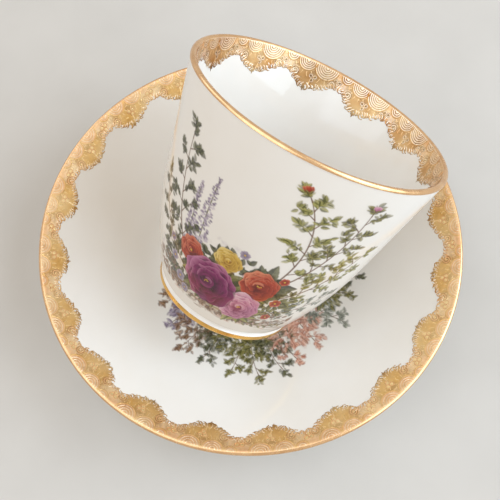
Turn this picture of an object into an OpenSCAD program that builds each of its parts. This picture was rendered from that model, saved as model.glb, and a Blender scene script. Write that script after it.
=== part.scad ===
// Porcelain cup leaning in its saucer, with gilt lace borders.
// The cup rests on the edge of its foot and on its handle, as a cup does that is laid down to show its side.
// Origin: centre of the saucer's foot ring on the table. +Z is up, and the cup leans towards +X.

/* [Saucer] */
// Outer diameter of the saucer
saucer_d = 130; // [116:1:150]
// Height from the table to the top of the saucer's lip
saucer_h = 26.8; // [24:0.1:30]
// Thickness of the saucer's floor
saucer_floor = 3; // [2.4:0.1:4]
// Thickness of the saucer's rounded lip
saucer_lip = 1.6; // [1.2:0.1:2.4]
// Diameter of the flat well that the cup stands in
well_d = 46; // [44:1:52]
// Radius of the curve that leads from the well into the wall
well_curve_r = 25; // [18:1:30]
// Radius of the wide curve of the wall, from there to the lip
dish_r = 300; // [200:10:500]
// Outer diameter of the saucer's foot ring
saucer_foot_d = 74; // [70:1:84]
// Height of the hollow inside the saucer's foot ring
saucer_foot_h = 2.5; // [1.5:0.1:3.5]
// Width of the foot ring across its rounded resting edge
saucer_foot_w = 2.8; // [2:0.1:3.5]
// Radius of the foot ring's two lower edges
saucer_foot_edge_r = 0.6; // [0.3:0.1:0.9]
// Radius of the curve from the foot ring into the wall, outside
saucer_foot_curve_r = 2; // [1:0.1:2.5]

/* [Cup] */
// Height of the cup from its foot to the top of its lip
cup_h = 66; // [60:0.5:74]
// Outer diameter at the lip
cup_rim_d = 73.2; // [70:0.2:78]
// Thickness of the curved lower wall, from which the upper wall thins
cup_wall = 2.4; // [1.8:0.1:3]
// Thickness of the rounded lip
cup_lip = 1.4; // [1:0.1:1.8]
// Thickness of the floor
cup_floor = 4; // [3:0.1:6]
// Flare of the straight upper wall from upright, in degrees
cup_flare_deg = 9.4; // [8:0.1:10.5]
// Height at which the straight upper wall runs into the curved lower wall
cup_curve_h = 34; // [28:0.5:38]
// Outer diameter that the lower wall draws in to at the foot
cup_base_d = 43.2; // [41.5:0.1:45]
// Radius of the body's lower edge
cup_edge_r = 1.2; // [0.6:0.1:2]
// Radius of the curve from the floor into the wall, inside
cup_inner_r = 12; // [8:0.5:15]

/* [Cup foot] */
// Outer diameter of the foot ring at its edge
cup_foot_d = 42.6; // [41:0.1:44]
// Height of the foot ring
cup_foot_h = 3.2; // [2.8:0.1:4]
// Depth of the hollow in the foot ring's side, from its edge to its waist
cup_foot_waist = 0.9; // [0.5:0.1:1.2]
// Radius of the round edge that the foot ring stands on
cup_foot_bead_r = 0.8; // [0.5:0.05:1]
// Width of the foot ring's resting face
cup_foot_w = 2.2; // [1.5:0.1:3]

/* [Handle] */
// Distance of the handle's upper end below the top of the lip
handle_below_lip = 14; // [11:0.5:18]
// Height of the handle's lower end on the wall
handle_low_h = 17; // [15:0.5:22]
// Reach of the handle from the wall to its outer edge
handle_reach = 16.8; // [14:0.1:20]
// Width of the handle across the ear
handle_w = 7; // [5:0.1:9]
// Thickness of the handle in the plane of the ear
handle_t = 4.6; // [3.5:0.1:5.5]
// Rise of the ear above its upper end
handle_rise = 6; // [3:0.5:8]
// Drop of the ear below its lower end
handle_drop = 1; // [0:0.5:2]

/* [Gilding] */
// Thickness of the gilding
gild_t = 0.12; // [0.08:0.01:0.2]
// Width of the gold line down each side of the cup's lip
cup_line_w = 0.4; // [0.2:0.1:1]
// Width of the gold line on each side of the saucer's lip
saucer_line_w = 0.3; // [0.2:0.1:1]
// Number of scallops in the cup's lace border
cup_scallops = 12; // [10:1:14]
// Depth of the cup's lace border at the tip of a scallop
cup_lace_w = 9.4; // [7:0.1:11]
// Depth of the cup's lace border between two scallops
cup_lace_valley = 4.4; // [3:0.1:6]
// Number of scallops in the saucer's lace border
saucer_scallops = 20; // [18:1:24]
// Width of the saucer's lace border at the tip of a scallop, in plan
saucer_lace_w = 8.4; // [6:0.1:10]
// Width of the saucer's lace border between two scallops, in plan
saucer_lace_valley = 4.8; // [3:0.1:5.5]

/* [Placing] */
// Distance of the cup's resting foot edge from the saucer's centre, against the lean
foot_place = 1.2; // [0:0.1:3]
// Distance of the cup's axis to the side of the saucer's centre
side_shift = 3.4; // [0:0.1:4]
// Clearance between the cup and the saucer where they rest on each other
seat_gap = 0.2; // [0.1:0.05:0.4]

/* [Hidden] */
$fn = 96;

porcelain = [0.96, 0.95, 0.92];
gold = [0.83, 0.62, 0.28];

// Clearance between the glaze and the gilding on it
film = 0.02;
// Length by which the tip of a scallop is cut flat
tip_flat = 0.05;
// Overrun of a cutting shape past what it cuts
overrun = 1;
// Steps in a long arc, in a small round and across the saucer's lace
arc_steps = 24;
round_steps = 12;
lace_steps = 4;
// Rings along the handle and points round its section
handle_rings = 44;
handle_sides = 20;
// Growth of the handle's section at its two ends
handle_flare_share = 0.45;
// Turn of the foot ring's hollow side, in degrees
waist_turn_deg = 60;
// Lean angles between which the cup comes to rest, in degrees, and halvings of that span
lean_least_deg = 5;
lean_most_deg = 75;
lean_halvings = 30;

// Points along an arc from one angle to another
function arc(centre, r, from, to, steps) =
    [for (i = [0 : steps]) let (a = from + (to - from) * i / steps) centre + r * [cos(a), sin(a)]];

// Radius of the arc that leaves point p at right angles to n and passes through point q
function arc_radius(p, n, q) = ((q - p) * (q - p)) / (2 * ((q - p) * n));

// Point that lies at distance ra from point a and rb from point b, to the left of the way from a to b
function crossing_point(a, ra, b, rb) =
    let (
        d = norm(b - a),
        u = (b - a) / d,
        along = (pow(ra, 2) - pow(rb, 2) + pow(d, 2)) / (2 * d)
    )
    a + along * u + sqrt(pow(ra, 2) - pow(along, 2)) * [-u.y, u.x];

// Angle of the line between two circles that passes the first on its left and the second on its right
function crossing_deg(a, ra, b, rb) =
    atan2(b.y - a.y, b.x - a.x) - asin((ra + rb) / norm(b - a));

// Saucer: its upper face is a flat well, a curve and a wide arc that meets the round lip
saucer_r = saucer_d / 2;
well_r = well_d / 2;
well_z = saucer_foot_h + saucer_floor;
saucer_lip_r = saucer_lip / 2;
saucer_lip_c = [saucer_r - saucer_lip_r, saucer_h - saucer_lip_r];
well_curve_c = [well_r, well_z + well_curve_r];
dish_c = crossing_point(well_curve_c, dish_r - well_curve_r, saucer_lip_c, dish_r + saucer_lip_r);
dish_deg = atan2(saucer_lip_c.x - dish_c.x, dish_c.y - saucer_lip_c.y);
dish_n = [-sin(dish_deg), cos(dish_deg)];
well_curve_deg = atan2(well_curve_c.x - dish_c.x, dish_c.y - well_curve_c.y);
well_curve_end_r = well_r + well_curve_r * sin(well_curve_deg);

// Height and slope of the saucer's upper face at a distance from its centre
function dish_z(r) =
    r < well_r ? well_z
    : r < well_curve_end_r ? well_curve_c.y - sqrt(pow(well_curve_r, 2) - pow(r - well_r, 2))
    : dish_c.y - sqrt(pow(dish_r, 2) - pow(r - dish_c.x, 2));
function dish_slope(r) =
    r < well_r ? 0
    : r < well_curve_end_r ? asin((r - well_r) / well_curve_r)
    : asin((r - dish_c.x) / dish_r);

// Saucer's underside: a curve out of the foot ring and a straight wall that meets the round lip
saucer_foot_r = saucer_foot_d / 2;
saucer_foot_inner_r = saucer_foot_r - saucer_foot_w;
foot_curve_c = [saucer_foot_r + saucer_foot_curve_r, saucer_foot_h];
under_deg = crossing_deg(foot_curve_c, saucer_foot_curve_r, saucer_lip_c, saucer_lip_r);
under_n = [-sin(under_deg), cos(under_deg)];

// Cup body: a corner, a curved lower wall, a straight upper wall and a round lip
cup_lip_r = cup_lip / 2;
cup_lip_c = [cup_rim_d / 2 - cup_lip_r, cup_h - cup_lip_r];
wall_out = [cos(cup_flare_deg), -sin(cup_flare_deg)];
wall_up = [sin(cup_flare_deg), cos(cup_flare_deg)];
cup_lip_out = cup_lip_c + cup_lip_r * wall_out;
curve_top = [cup_lip_out.x - tan(cup_flare_deg) * (cup_lip_out.y - cup_curve_h), cup_curve_h];
curve_r = arc_radius(curve_top, -wall_out, [cup_base_d / 2, cup_foot_h]);
curve_c = curve_top - curve_r * wall_out;
edge_z = cup_foot_h + cup_edge_r;
edge_c = [curve_c.x + sqrt(pow(curve_r - cup_edge_r, 2) - pow(edge_z - curve_c.y, 2)), edge_z];
edge_deg = atan2(curve_c.y - edge_c.y, edge_c.x - curve_c.x);
cup_floor_z = cup_foot_h + cup_floor;
inner_curve_r = curve_r - cup_wall;
inner_z = cup_floor_z + cup_inner_r;
inner_c = [curve_c.x + sqrt(pow(inner_curve_r - cup_inner_r, 2) - pow(inner_z - curve_c.y, 2)), inner_z];
inner_deg = atan2(curve_c.y - inner_c.y, inner_c.x - curve_c.x);

// Inner face of the upper wall: the line that touches both the inner curve and the lip
lip_from_curve = cup_lip_c - curve_c;
inner_flare_deg = acos((inner_curve_r + cup_lip_r) / norm(lip_from_curve))
    - atan2(lip_from_curve.y, lip_from_curve.x);
inner_out = [cos(inner_flare_deg), -sin(inner_flare_deg)];
inner_up = [sin(inner_flare_deg), cos(inner_flare_deg)];

// Outer radius of the cup's wall at a height
function cup_r(z) =
    z < cup_curve_h ? curve_c.x + sqrt(pow(curve_r, 2) - pow(z - curve_c.y, 2))
    : cup_lip_out.x - tan(cup_flare_deg) * (cup_lip_out.y - z);

// Outside of the cup's body from its underside to the lip
function cup_outside() = concat(
    [[0, cup_foot_h]],
    arc(edge_c, cup_edge_r, -90, -edge_deg, round_steps),
    arc(curve_c, curve_r, -edge_deg, -cup_flare_deg, arc_steps)
);

// Cup's foot ring: a round edge below, a hollow side and a narrower waist under the body
bead_c = [cup_foot_d / 2 - cup_foot_bead_r, cup_foot_bead_r];
waist_r = cup_foot_d / 2 - cup_foot_waist;
hollow_r = cup_foot_waist / (1 - cos(waist_turn_deg));
hollow_c = [waist_r + hollow_r, cup_foot_h];
foot_inner_r = bead_c.x - cup_foot_w;

// Handle: a curve drawn by four points, from the upper wall out and round to the lower wall
handle_top_h = cup_h - handle_below_lip;
handle_mid_x = cup_r((handle_top_h + handle_low_h) / 2) + handle_reach - handle_t / 2;
handle_top = [cup_r(handle_top_h) - cup_wall, handle_top_h];
handle_low = [cup_r(handle_low_h) - cup_wall, handle_low_h];
handle_pull_x = (8 * handle_mid_x - handle_top.x - handle_low.x) / 6;
handle_points = [
    handle_top,
    [handle_pull_x, handle_top_h + handle_rise],
    [handle_pull_x, handle_low_h - handle_drop],
    handle_low
];

// Place on the handle's curve, its direction and the growth of its section, at a share of its length
function handle_at(s) =
    pow(1 - s, 3) * handle_points[0] + 3 * pow(1 - s, 2) * s * handle_points[1]
    + 3 * (1 - s) * pow(s, 2) * handle_points[2] + pow(s, 3) * handle_points[3];
function handle_way(s) =
    let (v = pow(1 - s, 2) * (handle_points[1] - handle_points[0])
        + 2 * (1 - s) * s * (handle_points[2] - handle_points[1])
        + pow(s, 2) * (handle_points[3] - handle_points[2]))
    v / norm(v);
function handle_grow(s) = 1 + handle_flare_share * pow(2 * s - 1, 6);
function handle_out(s) = let (v = handle_way(s)) [-v.y, v.x];

// One ring of points round the handle's section
function handle_ring(s) =
    let (p = handle_at(s), n = handle_out(s), g = handle_grow(s))
    [for (k = [0 : handle_sides - 1])
        let (a = 360 * k / handle_sides, q = p + n * g * handle_t / 2 * cos(a))
        [q.x, g * handle_w / 2 * sin(a), q.y]];

// Cup's rest: its foot edge stands in the well, and it leans until its handle comes down on the dish
bead_seat_r = cup_foot_bead_r + film + gild_t;
function leaned(p, lean) = [p.x * cos(lean) + p.y * sin(lean), p.y * cos(lean) - p.x * sin(lean)];
function cup_place(lean) = [-foot_place, well_z + seat_gap + bead_seat_r] - leaned(bead_c, lean);
function handle_gap(lean) = min([for (i = [0 : handle_rings])
    let (
        s = i / handle_rings,
        edge = handle_at(s) + handle_out(s) * handle_grow(s) * handle_t / 2,
        p = cup_place(lean) + leaned(edge, lean),
        r = norm([p.x, side_shift])
    )
    (p.y - dish_z(min(r, saucer_lip_c.x))) * cos(dish_slope(min(r, saucer_lip_c.x)))]);
function rest_lean(low, high, halvings) =
    let (mid = (low + high) / 2)
    halvings == 0 ? mid
    : handle_gap(mid) > seat_gap ? rest_lean(mid, high, halvings - 1)
    : rest_lean(low, mid, halvings - 1);
lean_deg = rest_lean(lean_least_deg, lean_most_deg, lean_halvings);

// Puts a piece of the cup, drawn upright on its foot, where the cup rests
module in_saucer() {
    place = cup_place(lean_deg);
    translate([place.x, -side_shift, place.y])
        rotate([0, lean_deg, 0])
            children();
}

module saucer_body() {
    foot_edge = [saucer_foot_edge_r, saucer_foot_edge_r];
    color(porcelain)
        rotate_extrude()
            polygon(concat(
                [[0, saucer_foot_h], [saucer_foot_inner_r, saucer_foot_h]],
                arc([saucer_foot_inner_r, 0] + foot_edge, saucer_foot_edge_r, 180, 270, round_steps),
                arc([saucer_foot_r - foot_edge.x, foot_edge.y], saucer_foot_edge_r, -90, 0, round_steps),
                arc(foot_curve_c, saucer_foot_curve_r, 180, under_deg + 90, round_steps),
                arc(saucer_lip_c, saucer_lip_r, under_deg - 90, dish_deg + 90, round_steps),
                arc(dish_c, dish_r, dish_deg - 90, well_curve_deg - 90, arc_steps),
                arc(well_curve_c, well_curve_r, well_curve_deg - 90, -90, round_steps),
                [[0, well_z]]
            ));
}

module saucer_rim_gilding() {
    inside = saucer_lip_r + film;
    outside = inside + gild_t;
    under_along = saucer_line_w * [cos(under_deg), sin(under_deg)];
    dish_along = saucer_line_w * [cos(dish_deg), sin(dish_deg)];
    from = under_deg - 90;
    to = dish_deg + 90;
    color(gold)
        rotate_extrude()
            polygon(concat(
                [saucer_lip_c - outside * under_n - under_along],
                arc(saucer_lip_c, outside, from, to, round_steps),
                [saucer_lip_c + outside * dish_n - dish_along, saucer_lip_c + inside * dish_n - dish_along],
                arc(saucer_lip_c, inside, to, from, round_steps),
                [saucer_lip_c - inside * under_n - under_along]
            ));
}

// What is cut away between two scallops: a cusp between two arcs, standing on the line of the tips
module notch(half_pitch, depth) {
    r = (pow(half_pitch, 2) + pow(depth, 2)) / (2 * depth);
    difference() {
        translate([-half_pitch, -overrun])
            square([2 * half_pitch, r + overrun]);
        for (side = [-half_pitch, half_pitch])
            translate([side, r - tip_flat])
                circle(r);
    }
}

// A thin skin on the dish inside the gold line, notched to scallops in plan
module saucer_lace_gilding() {
    tip_r = saucer_r - saucer_lace_w;
    tip_deg = asin((tip_r - dish_c.x) / dish_r);
    outer_deg = dish_deg - asin((saucer_line_w + film) / dish_r);
    turn = 360 / saucer_scallops;
    color(gold)
        difference() {
            rotate_extrude()
                polygon(concat(
                    arc(dish_c, dish_r - film, tip_deg - 90, outer_deg - 90, lace_steps),
                    arc(dish_c, dish_r - film - gild_t, outer_deg - 90, tip_deg - 90, lace_steps)
                ));
            for (i = [0 : saucer_scallops - 1])
                rotate(turn * i - 90)
                    translate([0, tip_r, 0])
                        linear_extrude(saucer_h + overrun)
                            notch(tip_r * sin(turn / 2), saucer_lace_w - saucer_lace_valley);
        }
}

module cup_body() {
    color(porcelain)
        in_saucer()
            rotate_extrude()
                polygon(concat(
                    cup_outside(),
                    arc(cup_lip_c, cup_lip_r, -cup_flare_deg, 180 - inner_flare_deg, round_steps),
                    arc(curve_c, inner_curve_r, -inner_flare_deg, -inner_deg, arc_steps),
                    arc(inner_c, cup_inner_r, -inner_deg, -90, round_steps),
                    [[0, cup_floor_z]]
                ));
}

module cup_foot_ring() {
    color(porcelain)
        in_saucer()
            rotate_extrude()
                polygon(concat(
                    [[foot_inner_r - cup_foot_bead_r, cup_foot_h], [foot_inner_r, 0]],
                    arc(bead_c, cup_foot_bead_r, -90, 0, round_steps),
                    arc(hollow_c, hollow_r, 180 + waist_turn_deg, 180, round_steps)
                ));
}

module cup_foot_gilding() {
    inside = cup_foot_bead_r + film;
    outside = inside + gild_t;
    hollow_end = hollow_c.y - hollow_r * sin(waist_turn_deg);
    color(gold)
        in_saucer()
            rotate_extrude()
                polygon(concat(
                    arc(bead_c, outside, -90 + waist_turn_deg / 2, 0, round_steps),
                    [[bead_c.x + outside, hollow_end], [bead_c.x + inside, hollow_end]],
                    arc(bead_c, inside, 0, -90 + waist_turn_deg / 2, round_steps)
                ));
}

// The ear as swept, with both ends running on into the wall
module handle_sweep() {
    rings = handle_rings + 1;
    points = [for (i = [0 : handle_rings]) each handle_ring(i / handle_rings)];
    sides = [for (i = [0 : handle_rings - 1], k = [0 : handle_sides - 1])
        let (a = i * handle_sides + k, b = i * handle_sides + (k + 1) % handle_sides)
        each [[a, b, b + handle_sides], [a, b + handle_sides, a + handle_sides]]];
    first = [for (k = [handle_sides - 1 : -1 : 0]) k];
    last = [for (k = [0 : handle_sides - 1]) (rings - 1) * handle_sides + k];
    polyhedron(points, concat(sides, [first, last]));
}

module cup_handle() {
    color(porcelain)
        in_saucer()
            difference() {
                handle_sweep();
                rotate_extrude()
                    polygon(concat(cup_outside(), [cup_lip_out, [0, cup_lip_out.y]]));
            }
}

module cup_rim_gilding() {
    inside = cup_lip_r + film;
    outside = inside + gild_t;
    from = -cup_flare_deg;
    to = 180 - inner_flare_deg;
    color(gold)
        in_saucer()
            rotate_extrude()
                polygon(concat(
                    [cup_lip_c + outside * wall_out - cup_line_w * wall_up],
                    arc(cup_lip_c, outside, from, to, round_steps),
                    [
                        cup_lip_c - outside * inner_out - cup_line_w * inner_up,
                        cup_lip_c - inside * inner_out - cup_line_w * inner_up
                    ],
                    arc(cup_lip_c, inside, to, from, round_steps),
                    [cup_lip_c + inside * wall_out - cup_line_w * wall_up]
                ));
}

// A thin skin on the inner wall below the gold line, notched to scallops from inside
module cup_lace_gilding() {
    start = cup_lip_c - (cup_lip_r + film) * inner_out;
    top = start - (cup_line_w + film) * inner_up;
    tip = start - (cup_lace_w - cup_lip_r) * inner_up;
    turn = 360 / cup_scallops;
    color(gold)
        in_saucer()
            difference() {
                rotate_extrude()
                    polygon([top, tip, tip - gild_t * inner_out, top - gild_t * inner_out]);
                for (i = [0 : cup_scallops - 1])
                    rotate(turn * (i + 0.5))
                        translate([0, 0, tip.y])
                            rotate([90, 0, 90])
                                linear_extrude(cup_rim_d)
                                    notch(tip.x * sin(turn / 2), cup_lace_w - cup_lace_valley);
            }
}

saucer_body();
saucer_rim_gilding();
saucer_lace_gilding();
cup_body();
cup_foot_ring();
cup_handle();
cup_rim_gilding();
cup_lace_gilding();
cup_foot_gilding();
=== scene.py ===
"""Looks of a porcelain cup that leans in its saucer: glaze, gilt lace borders and painted flower sprays.

Lengths are in millimetres and angles in radians. A mesh is scaled to metres when it is made.
"""

import math
import random
from collections import namedtuple

import bpy
import numpy as np
from mathutils import Matrix, Vector


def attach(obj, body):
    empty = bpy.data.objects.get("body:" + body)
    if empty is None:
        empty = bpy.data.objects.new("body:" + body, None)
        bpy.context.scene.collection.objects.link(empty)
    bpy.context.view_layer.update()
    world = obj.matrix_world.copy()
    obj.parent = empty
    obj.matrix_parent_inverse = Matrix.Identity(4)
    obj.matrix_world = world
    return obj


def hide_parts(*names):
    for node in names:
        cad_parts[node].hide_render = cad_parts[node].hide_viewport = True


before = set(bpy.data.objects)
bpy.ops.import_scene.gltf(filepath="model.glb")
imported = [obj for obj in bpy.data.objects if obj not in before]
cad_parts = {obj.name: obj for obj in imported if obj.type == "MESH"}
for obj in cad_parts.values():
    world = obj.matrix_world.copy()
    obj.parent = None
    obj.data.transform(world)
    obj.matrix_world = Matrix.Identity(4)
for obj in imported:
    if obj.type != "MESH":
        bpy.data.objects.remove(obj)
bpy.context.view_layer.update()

MM = 0.001
UP = math.pi / 2
DOWN = -UP
FULL_TURN = 2 * math.pi

# Saucer, as in the part's source
SAUCER_R = 65.0
SAUCER_H = 26.8
SAUCER_FLOOR = 3.0
SAUCER_LIP_R = 0.8
WELL_R = 23.0
WELL_CURVE_R = 25.0
DISH_R = 300.0
SAUCER_FOOT_R = 37.0
SAUCER_FOOT_H = 2.5
SAUCER_FOOT_W = 2.8
SAUCER_FOOT_EDGE_R = 0.6
SAUCER_FOOT_CURVE_R = 2.0

# Cup
CUP_H = 66.0
CUP_RIM_R = 36.6
CUP_WALL = 2.4
CUP_LIP_R = 0.7
CUP_FLOOR = 4.0
CUP_FLARE = math.radians(9.4)
CUP_CURVE_H = 34.0
CUP_BASE_R = 21.6
CUP_EDGE_R = 1.2
CUP_INNER_R = 12.0

# Cup's foot ring
FOOT_R = 21.3
FOOT_H = 3.2
FOOT_WAIST = 0.9
FOOT_BEAD_R = 0.8
FOOT_W = 2.2
WAIST_TURN = math.radians(60)

# Handle
HANDLE_TOP_H = 52.0
HANDLE_LOW_H = 17.0
HANDLE_REACH = 16.8
HANDLE_W = 7.0
HANDLE_T = 4.6
HANDLE_RISE = 6.0
HANDLE_DROP = 1.0
HANDLE_FLARE_SHARE = 0.45
HANDLE_SINK = 0.8

# Gilding
FILM = 0.02
GILD_T = 0.12
# Reach of a gold line off its lip, inside the facets of the CAD line
LINE_REACH = 0.1
CUP_LINE = (math.radians(-9), math.radians(150))
SAUCER_LINE = (math.radians(-12), math.radians(82))

# Turn of the part in the photograph
PART_TURN = math.radians(50.248)

# Fineness of the turned faces
TURN_STEPS = 512
PROFILE_STEP = 0.6
ARC_LEAST_STEPS = 6
FACE_STEP = 0.1
# How closely the cup's lean is found
LEAN_CLOSE = 1e-7


def unit(angle):
    return np.array([math.cos(angle), math.sin(angle)])


def arc(centre, r, start, end):
    """Points along an arc, about a step apart."""
    count = max(ARC_LEAST_STEPS, math.ceil(abs(end - start) * r / PROFILE_STEP))
    return [np.asarray(centre) + r * unit(start + (end - start) * i / count) for i in range(count + 1)]


def cubic(points, t):
    """Smooth curve through the pull of four points."""
    a, b, c, d = points
    return (1 - t) ** 3 * a + 3 * (1 - t) ** 2 * t * b + 3 * (1 - t) * t**2 * c + t**3 * d


def heading(p, q):
    return math.atan2(q[1] - p[1], q[0] - p[0])


def path_length(path):
    """Way along a path to each of its points."""
    return np.concatenate([[0], np.cumsum(np.linalg.norm(np.diff(path, axis=0), axis=1))])


def path_frame(path):
    """Directions across a path, to its left."""
    way = np.gradient(path, axis=0)
    way /= np.linalg.norm(way, axis=1)[:, None]
    return np.stack([-way[:, 1], way[:, 0]], -1)


def crossing_point(a, ra, b, rb):
    """Point at distance ra from a and rb from b, to the left of the way from a to b."""
    d = np.linalg.norm(b - a)
    u = (b - a) / d
    along = (ra**2 - rb**2 + d**2) / (2 * d)
    return a + along * u + math.sqrt(ra**2 - along**2) * np.array([-u[1], u[0]])


def inner_tangent(centre, r, edge_r, z):
    """Centre, at a given height, of a small arc that meets a large one from inside."""
    return np.array([centre[0] + math.sqrt((r - edge_r) ** 2 - (z - centre[1]) ** 2), z])


# Saucer's outline
well_z = SAUCER_FOOT_H + SAUCER_FLOOR
saucer_lip_c = np.array([SAUCER_R - SAUCER_LIP_R, SAUCER_H - SAUCER_LIP_R])
well_curve_c = np.array([WELL_R, well_z + WELL_CURVE_R])
dish_c = crossing_point(well_curve_c, DISH_R - WELL_CURVE_R, saucer_lip_c, DISH_R + SAUCER_LIP_R)
dish_end = heading(dish_c, saucer_lip_c)
well_curve_end = heading(dish_c, well_curve_c)
foot_curve_c = np.array([SAUCER_FOOT_R + SAUCER_FOOT_CURVE_R, SAUCER_FOOT_H])
under_slope = heading(foot_curve_c, saucer_lip_c) - math.asin(
    (SAUCER_FOOT_CURVE_R + SAUCER_LIP_R) / np.linalg.norm(saucer_lip_c - foot_curve_c)
)

# Cup's outline
cup_lip_c = np.array([CUP_RIM_R - CUP_LIP_R, CUP_H - CUP_LIP_R])
wall_out = unit(-CUP_FLARE)
cup_lip_out = cup_lip_c + CUP_LIP_R * wall_out
curve_top = np.array([cup_lip_out[0] - math.tan(CUP_FLARE) * (cup_lip_out[1] - CUP_CURVE_H), CUP_CURVE_H])
to_base = np.array([CUP_BASE_R, FOOT_H]) - curve_top
curve_r = to_base @ to_base / (-2 * (to_base @ wall_out))
curve_c = curve_top - curve_r * wall_out
edge_c = inner_tangent(curve_c, curve_r, CUP_EDGE_R, FOOT_H + CUP_EDGE_R)
edge_turn = heading(curve_c, edge_c)
inner_curve_r = curve_r - CUP_WALL
inner_c = inner_tangent(curve_c, inner_curve_r, CUP_INNER_R, FOOT_H + CUP_FLOOR + CUP_INNER_R)
inner_turn = heading(curve_c, inner_c)
lip_turn = math.acos((inner_curve_r + CUP_LIP_R) / np.linalg.norm(cup_lip_c - curve_c))
inner_flare = lip_turn - heading(curve_c, cup_lip_c)

# Outline of the cup's foot ring
bead_c = np.array([FOOT_R - FOOT_BEAD_R, FOOT_BEAD_R])
hollow_r = FOOT_WAIST / (1 - math.cos(WAIST_TURN))


def saucer_dish():
    """Upper face from the lip to the centre."""
    return (
        arc(dish_c, DISH_R, dish_end, well_curve_end)
        + arc(well_curve_c, WELL_CURVE_R, well_curve_end, DOWN)[1:]
        + [np.array([0.0, well_z])]
    )


def saucer_outline():
    """From the centre of the underside round the lip to the centre of the well."""
    foot_in = SAUCER_FOOT_R - SAUCER_FOOT_W
    edge = SAUCER_FOOT_EDGE_R
    return (
        [np.array([0.0, SAUCER_FOOT_H]), np.array([foot_in, SAUCER_FOOT_H])]
        + arc([foot_in + edge, edge], edge, math.pi, 1.5 * math.pi)
        + arc([SAUCER_FOOT_R - edge, edge], edge, DOWN, 0)
        + arc(foot_curve_c, SAUCER_FOOT_CURVE_R, math.pi, under_slope + UP)
        + arc(saucer_lip_c, SAUCER_LIP_R, under_slope + DOWN, dish_end + math.pi)
        + saucer_dish()[1:]
    )


def cup_outside():
    """Outer face from the edge above the foot up to the lip."""
    return (
        arc(edge_c, CUP_EDGE_R, DOWN, edge_turn)
        + arc(curve_c, curve_r, edge_turn, -CUP_FLARE)[1:]
        + [cup_lip_out]
    )


def cup_inside():
    """Inner face from the lip down to the middle of the floor."""
    return (
        [cup_lip_c - CUP_LIP_R * unit(-inner_flare)]
        + arc(curve_c, inner_curve_r, -inner_flare, inner_turn)
        + arc(inner_c, CUP_INNER_R, inner_turn, DOWN)[1:]
        + [np.array([0.0, FOOT_H + CUP_FLOOR])]
    )


def cup_outline():
    """From the centre of the underside round the lip to the middle of the floor."""
    lip = arc(cup_lip_c, CUP_LIP_R, -CUP_FLARE, math.pi - inner_flare)
    return [np.array([0.0, FOOT_H])] + cup_outside() + lip[1:-1] + cup_inside()


def foot_outline():
    """Closed section of the cup's foot ring: a round edge, a hollow side and a waist under the body."""
    hollow_c = np.array([FOOT_R - FOOT_WAIST + hollow_r, FOOT_H])
    inner = bead_c[0] - FOOT_W
    return (
        [np.array([inner - FOOT_BEAD_R, FOOT_H]), np.array([inner, 0.0])]
        + arc(bead_c, FOOT_BEAD_R, DOWN, 0)
        + arc(hollow_c, hollow_r, math.pi + WAIST_TURN, math.pi)
    )


def foot_band_outline():
    """Closed section of the gold band round the foot ring's edge."""
    top = FOOT_H - hollow_r * math.sin(WAIST_TURN)
    inside = FOOT_BEAD_R + FILM
    outside = inside + GILD_T
    low = DOWN + WAIST_TURN / 2
    return (
        arc(bead_c, outside, low, 0)
        + [np.array([bead_c[0] + outside, top]), np.array([bead_c[0] + inside, top])]
        + arc(bead_c, inside, 0, low)
    )


def lip_line_outline(lip_c, lip_r, start, end):
    """Closed section of a gold line over a round lip."""
    return arc(lip_c, lip_r + LINE_REACH, start, end) + arc(lip_c, lip_r + FILM, end, start)


def cup_placing():
    """Where the cup rests: turns its upright frame into the row frame. Read from the gold line on its lip."""
    points = np.array([v.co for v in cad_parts["cup_rim_gilding"].data.vertices])

    def axis(lean):
        return np.array([math.sin(lean), 0, math.cos(lean)])

    low, high = 0.0, UP
    while high - low > LEAN_CLOSE:
        a, b = low + (high - low) / 3, high - (high - low) / 3
        if np.ptp(points @ axis(a)) < np.ptp(points @ axis(b)):
            high = b
        else:
            low = a
    lean = (low + high) / 2
    up = axis(lean)
    side = np.array([math.cos(lean), 0, -math.sin(lean)])
    across, depth = points @ side, points[:, 1]
    top = (points @ up).max() - (CUP_H + FILM + GILD_T) * MM
    place = side * (across.min() + across.max()) / 2 + up * top
    place[1] = (depth.min() + depth.max()) / 2
    return np.column_stack([side, [0, 1, 0], up]), place


CUP_TURN, CUP_PLACE = cup_placing()


def to_saucer(points):
    return np.asarray(points) * MM


def to_cup(points):
    return np.asarray(points) * MM @ CUP_TURN.T + CUP_PLACE


class TurnedFace:
    """One face of a turned piece, for things drawn on it at an angle, a way along its outline and a lift."""

    def __init__(self, outline, place):
        rough = np.array(outline)
        rough_length = path_length(rough)
        length = rough_length[-1]
        self.along = np.linspace(0, length, math.ceil(length / FACE_STEP))
        self.r, self.z = (np.interp(self.along, rough_length, v) for v in rough.T)
        way = np.stack([np.gradient(self.r), np.gradient(self.z)])
        way /= np.linalg.norm(way, axis=0)
        self.normal_r, self.normal_z = way[1], -way[0]
        self.place = place

    def put(self, angle, along, lift):
        values = (self.r, self.z, self.normal_r, self.normal_z)
        r, z, nr, nz = (np.interp(along, self.along, v) for v in values)
        r = r + nr * lift
        return self.place(np.stack([r * np.cos(angle), r * np.sin(angle), z + nz * lift], -1))


dish_lip = arc(saucer_lip_c, SAUCER_LIP_R, SAUCER_LINE[1], dish_end + math.pi)
cup_in_lip = arc(cup_lip_c, CUP_LIP_R, CUP_LINE[1], math.pi - inner_flare)
DISH = TurnedFace(dish_lip + saucer_dish()[1:], to_saucer)
CUP_OUT = TurnedFace(cup_outside(), to_cup)
CUP_IN = TurnedFace(cup_in_lip + cup_inside()[1:], to_cup)


# Meshes

SMOOTH_ANGLE = math.radians(40)


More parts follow.
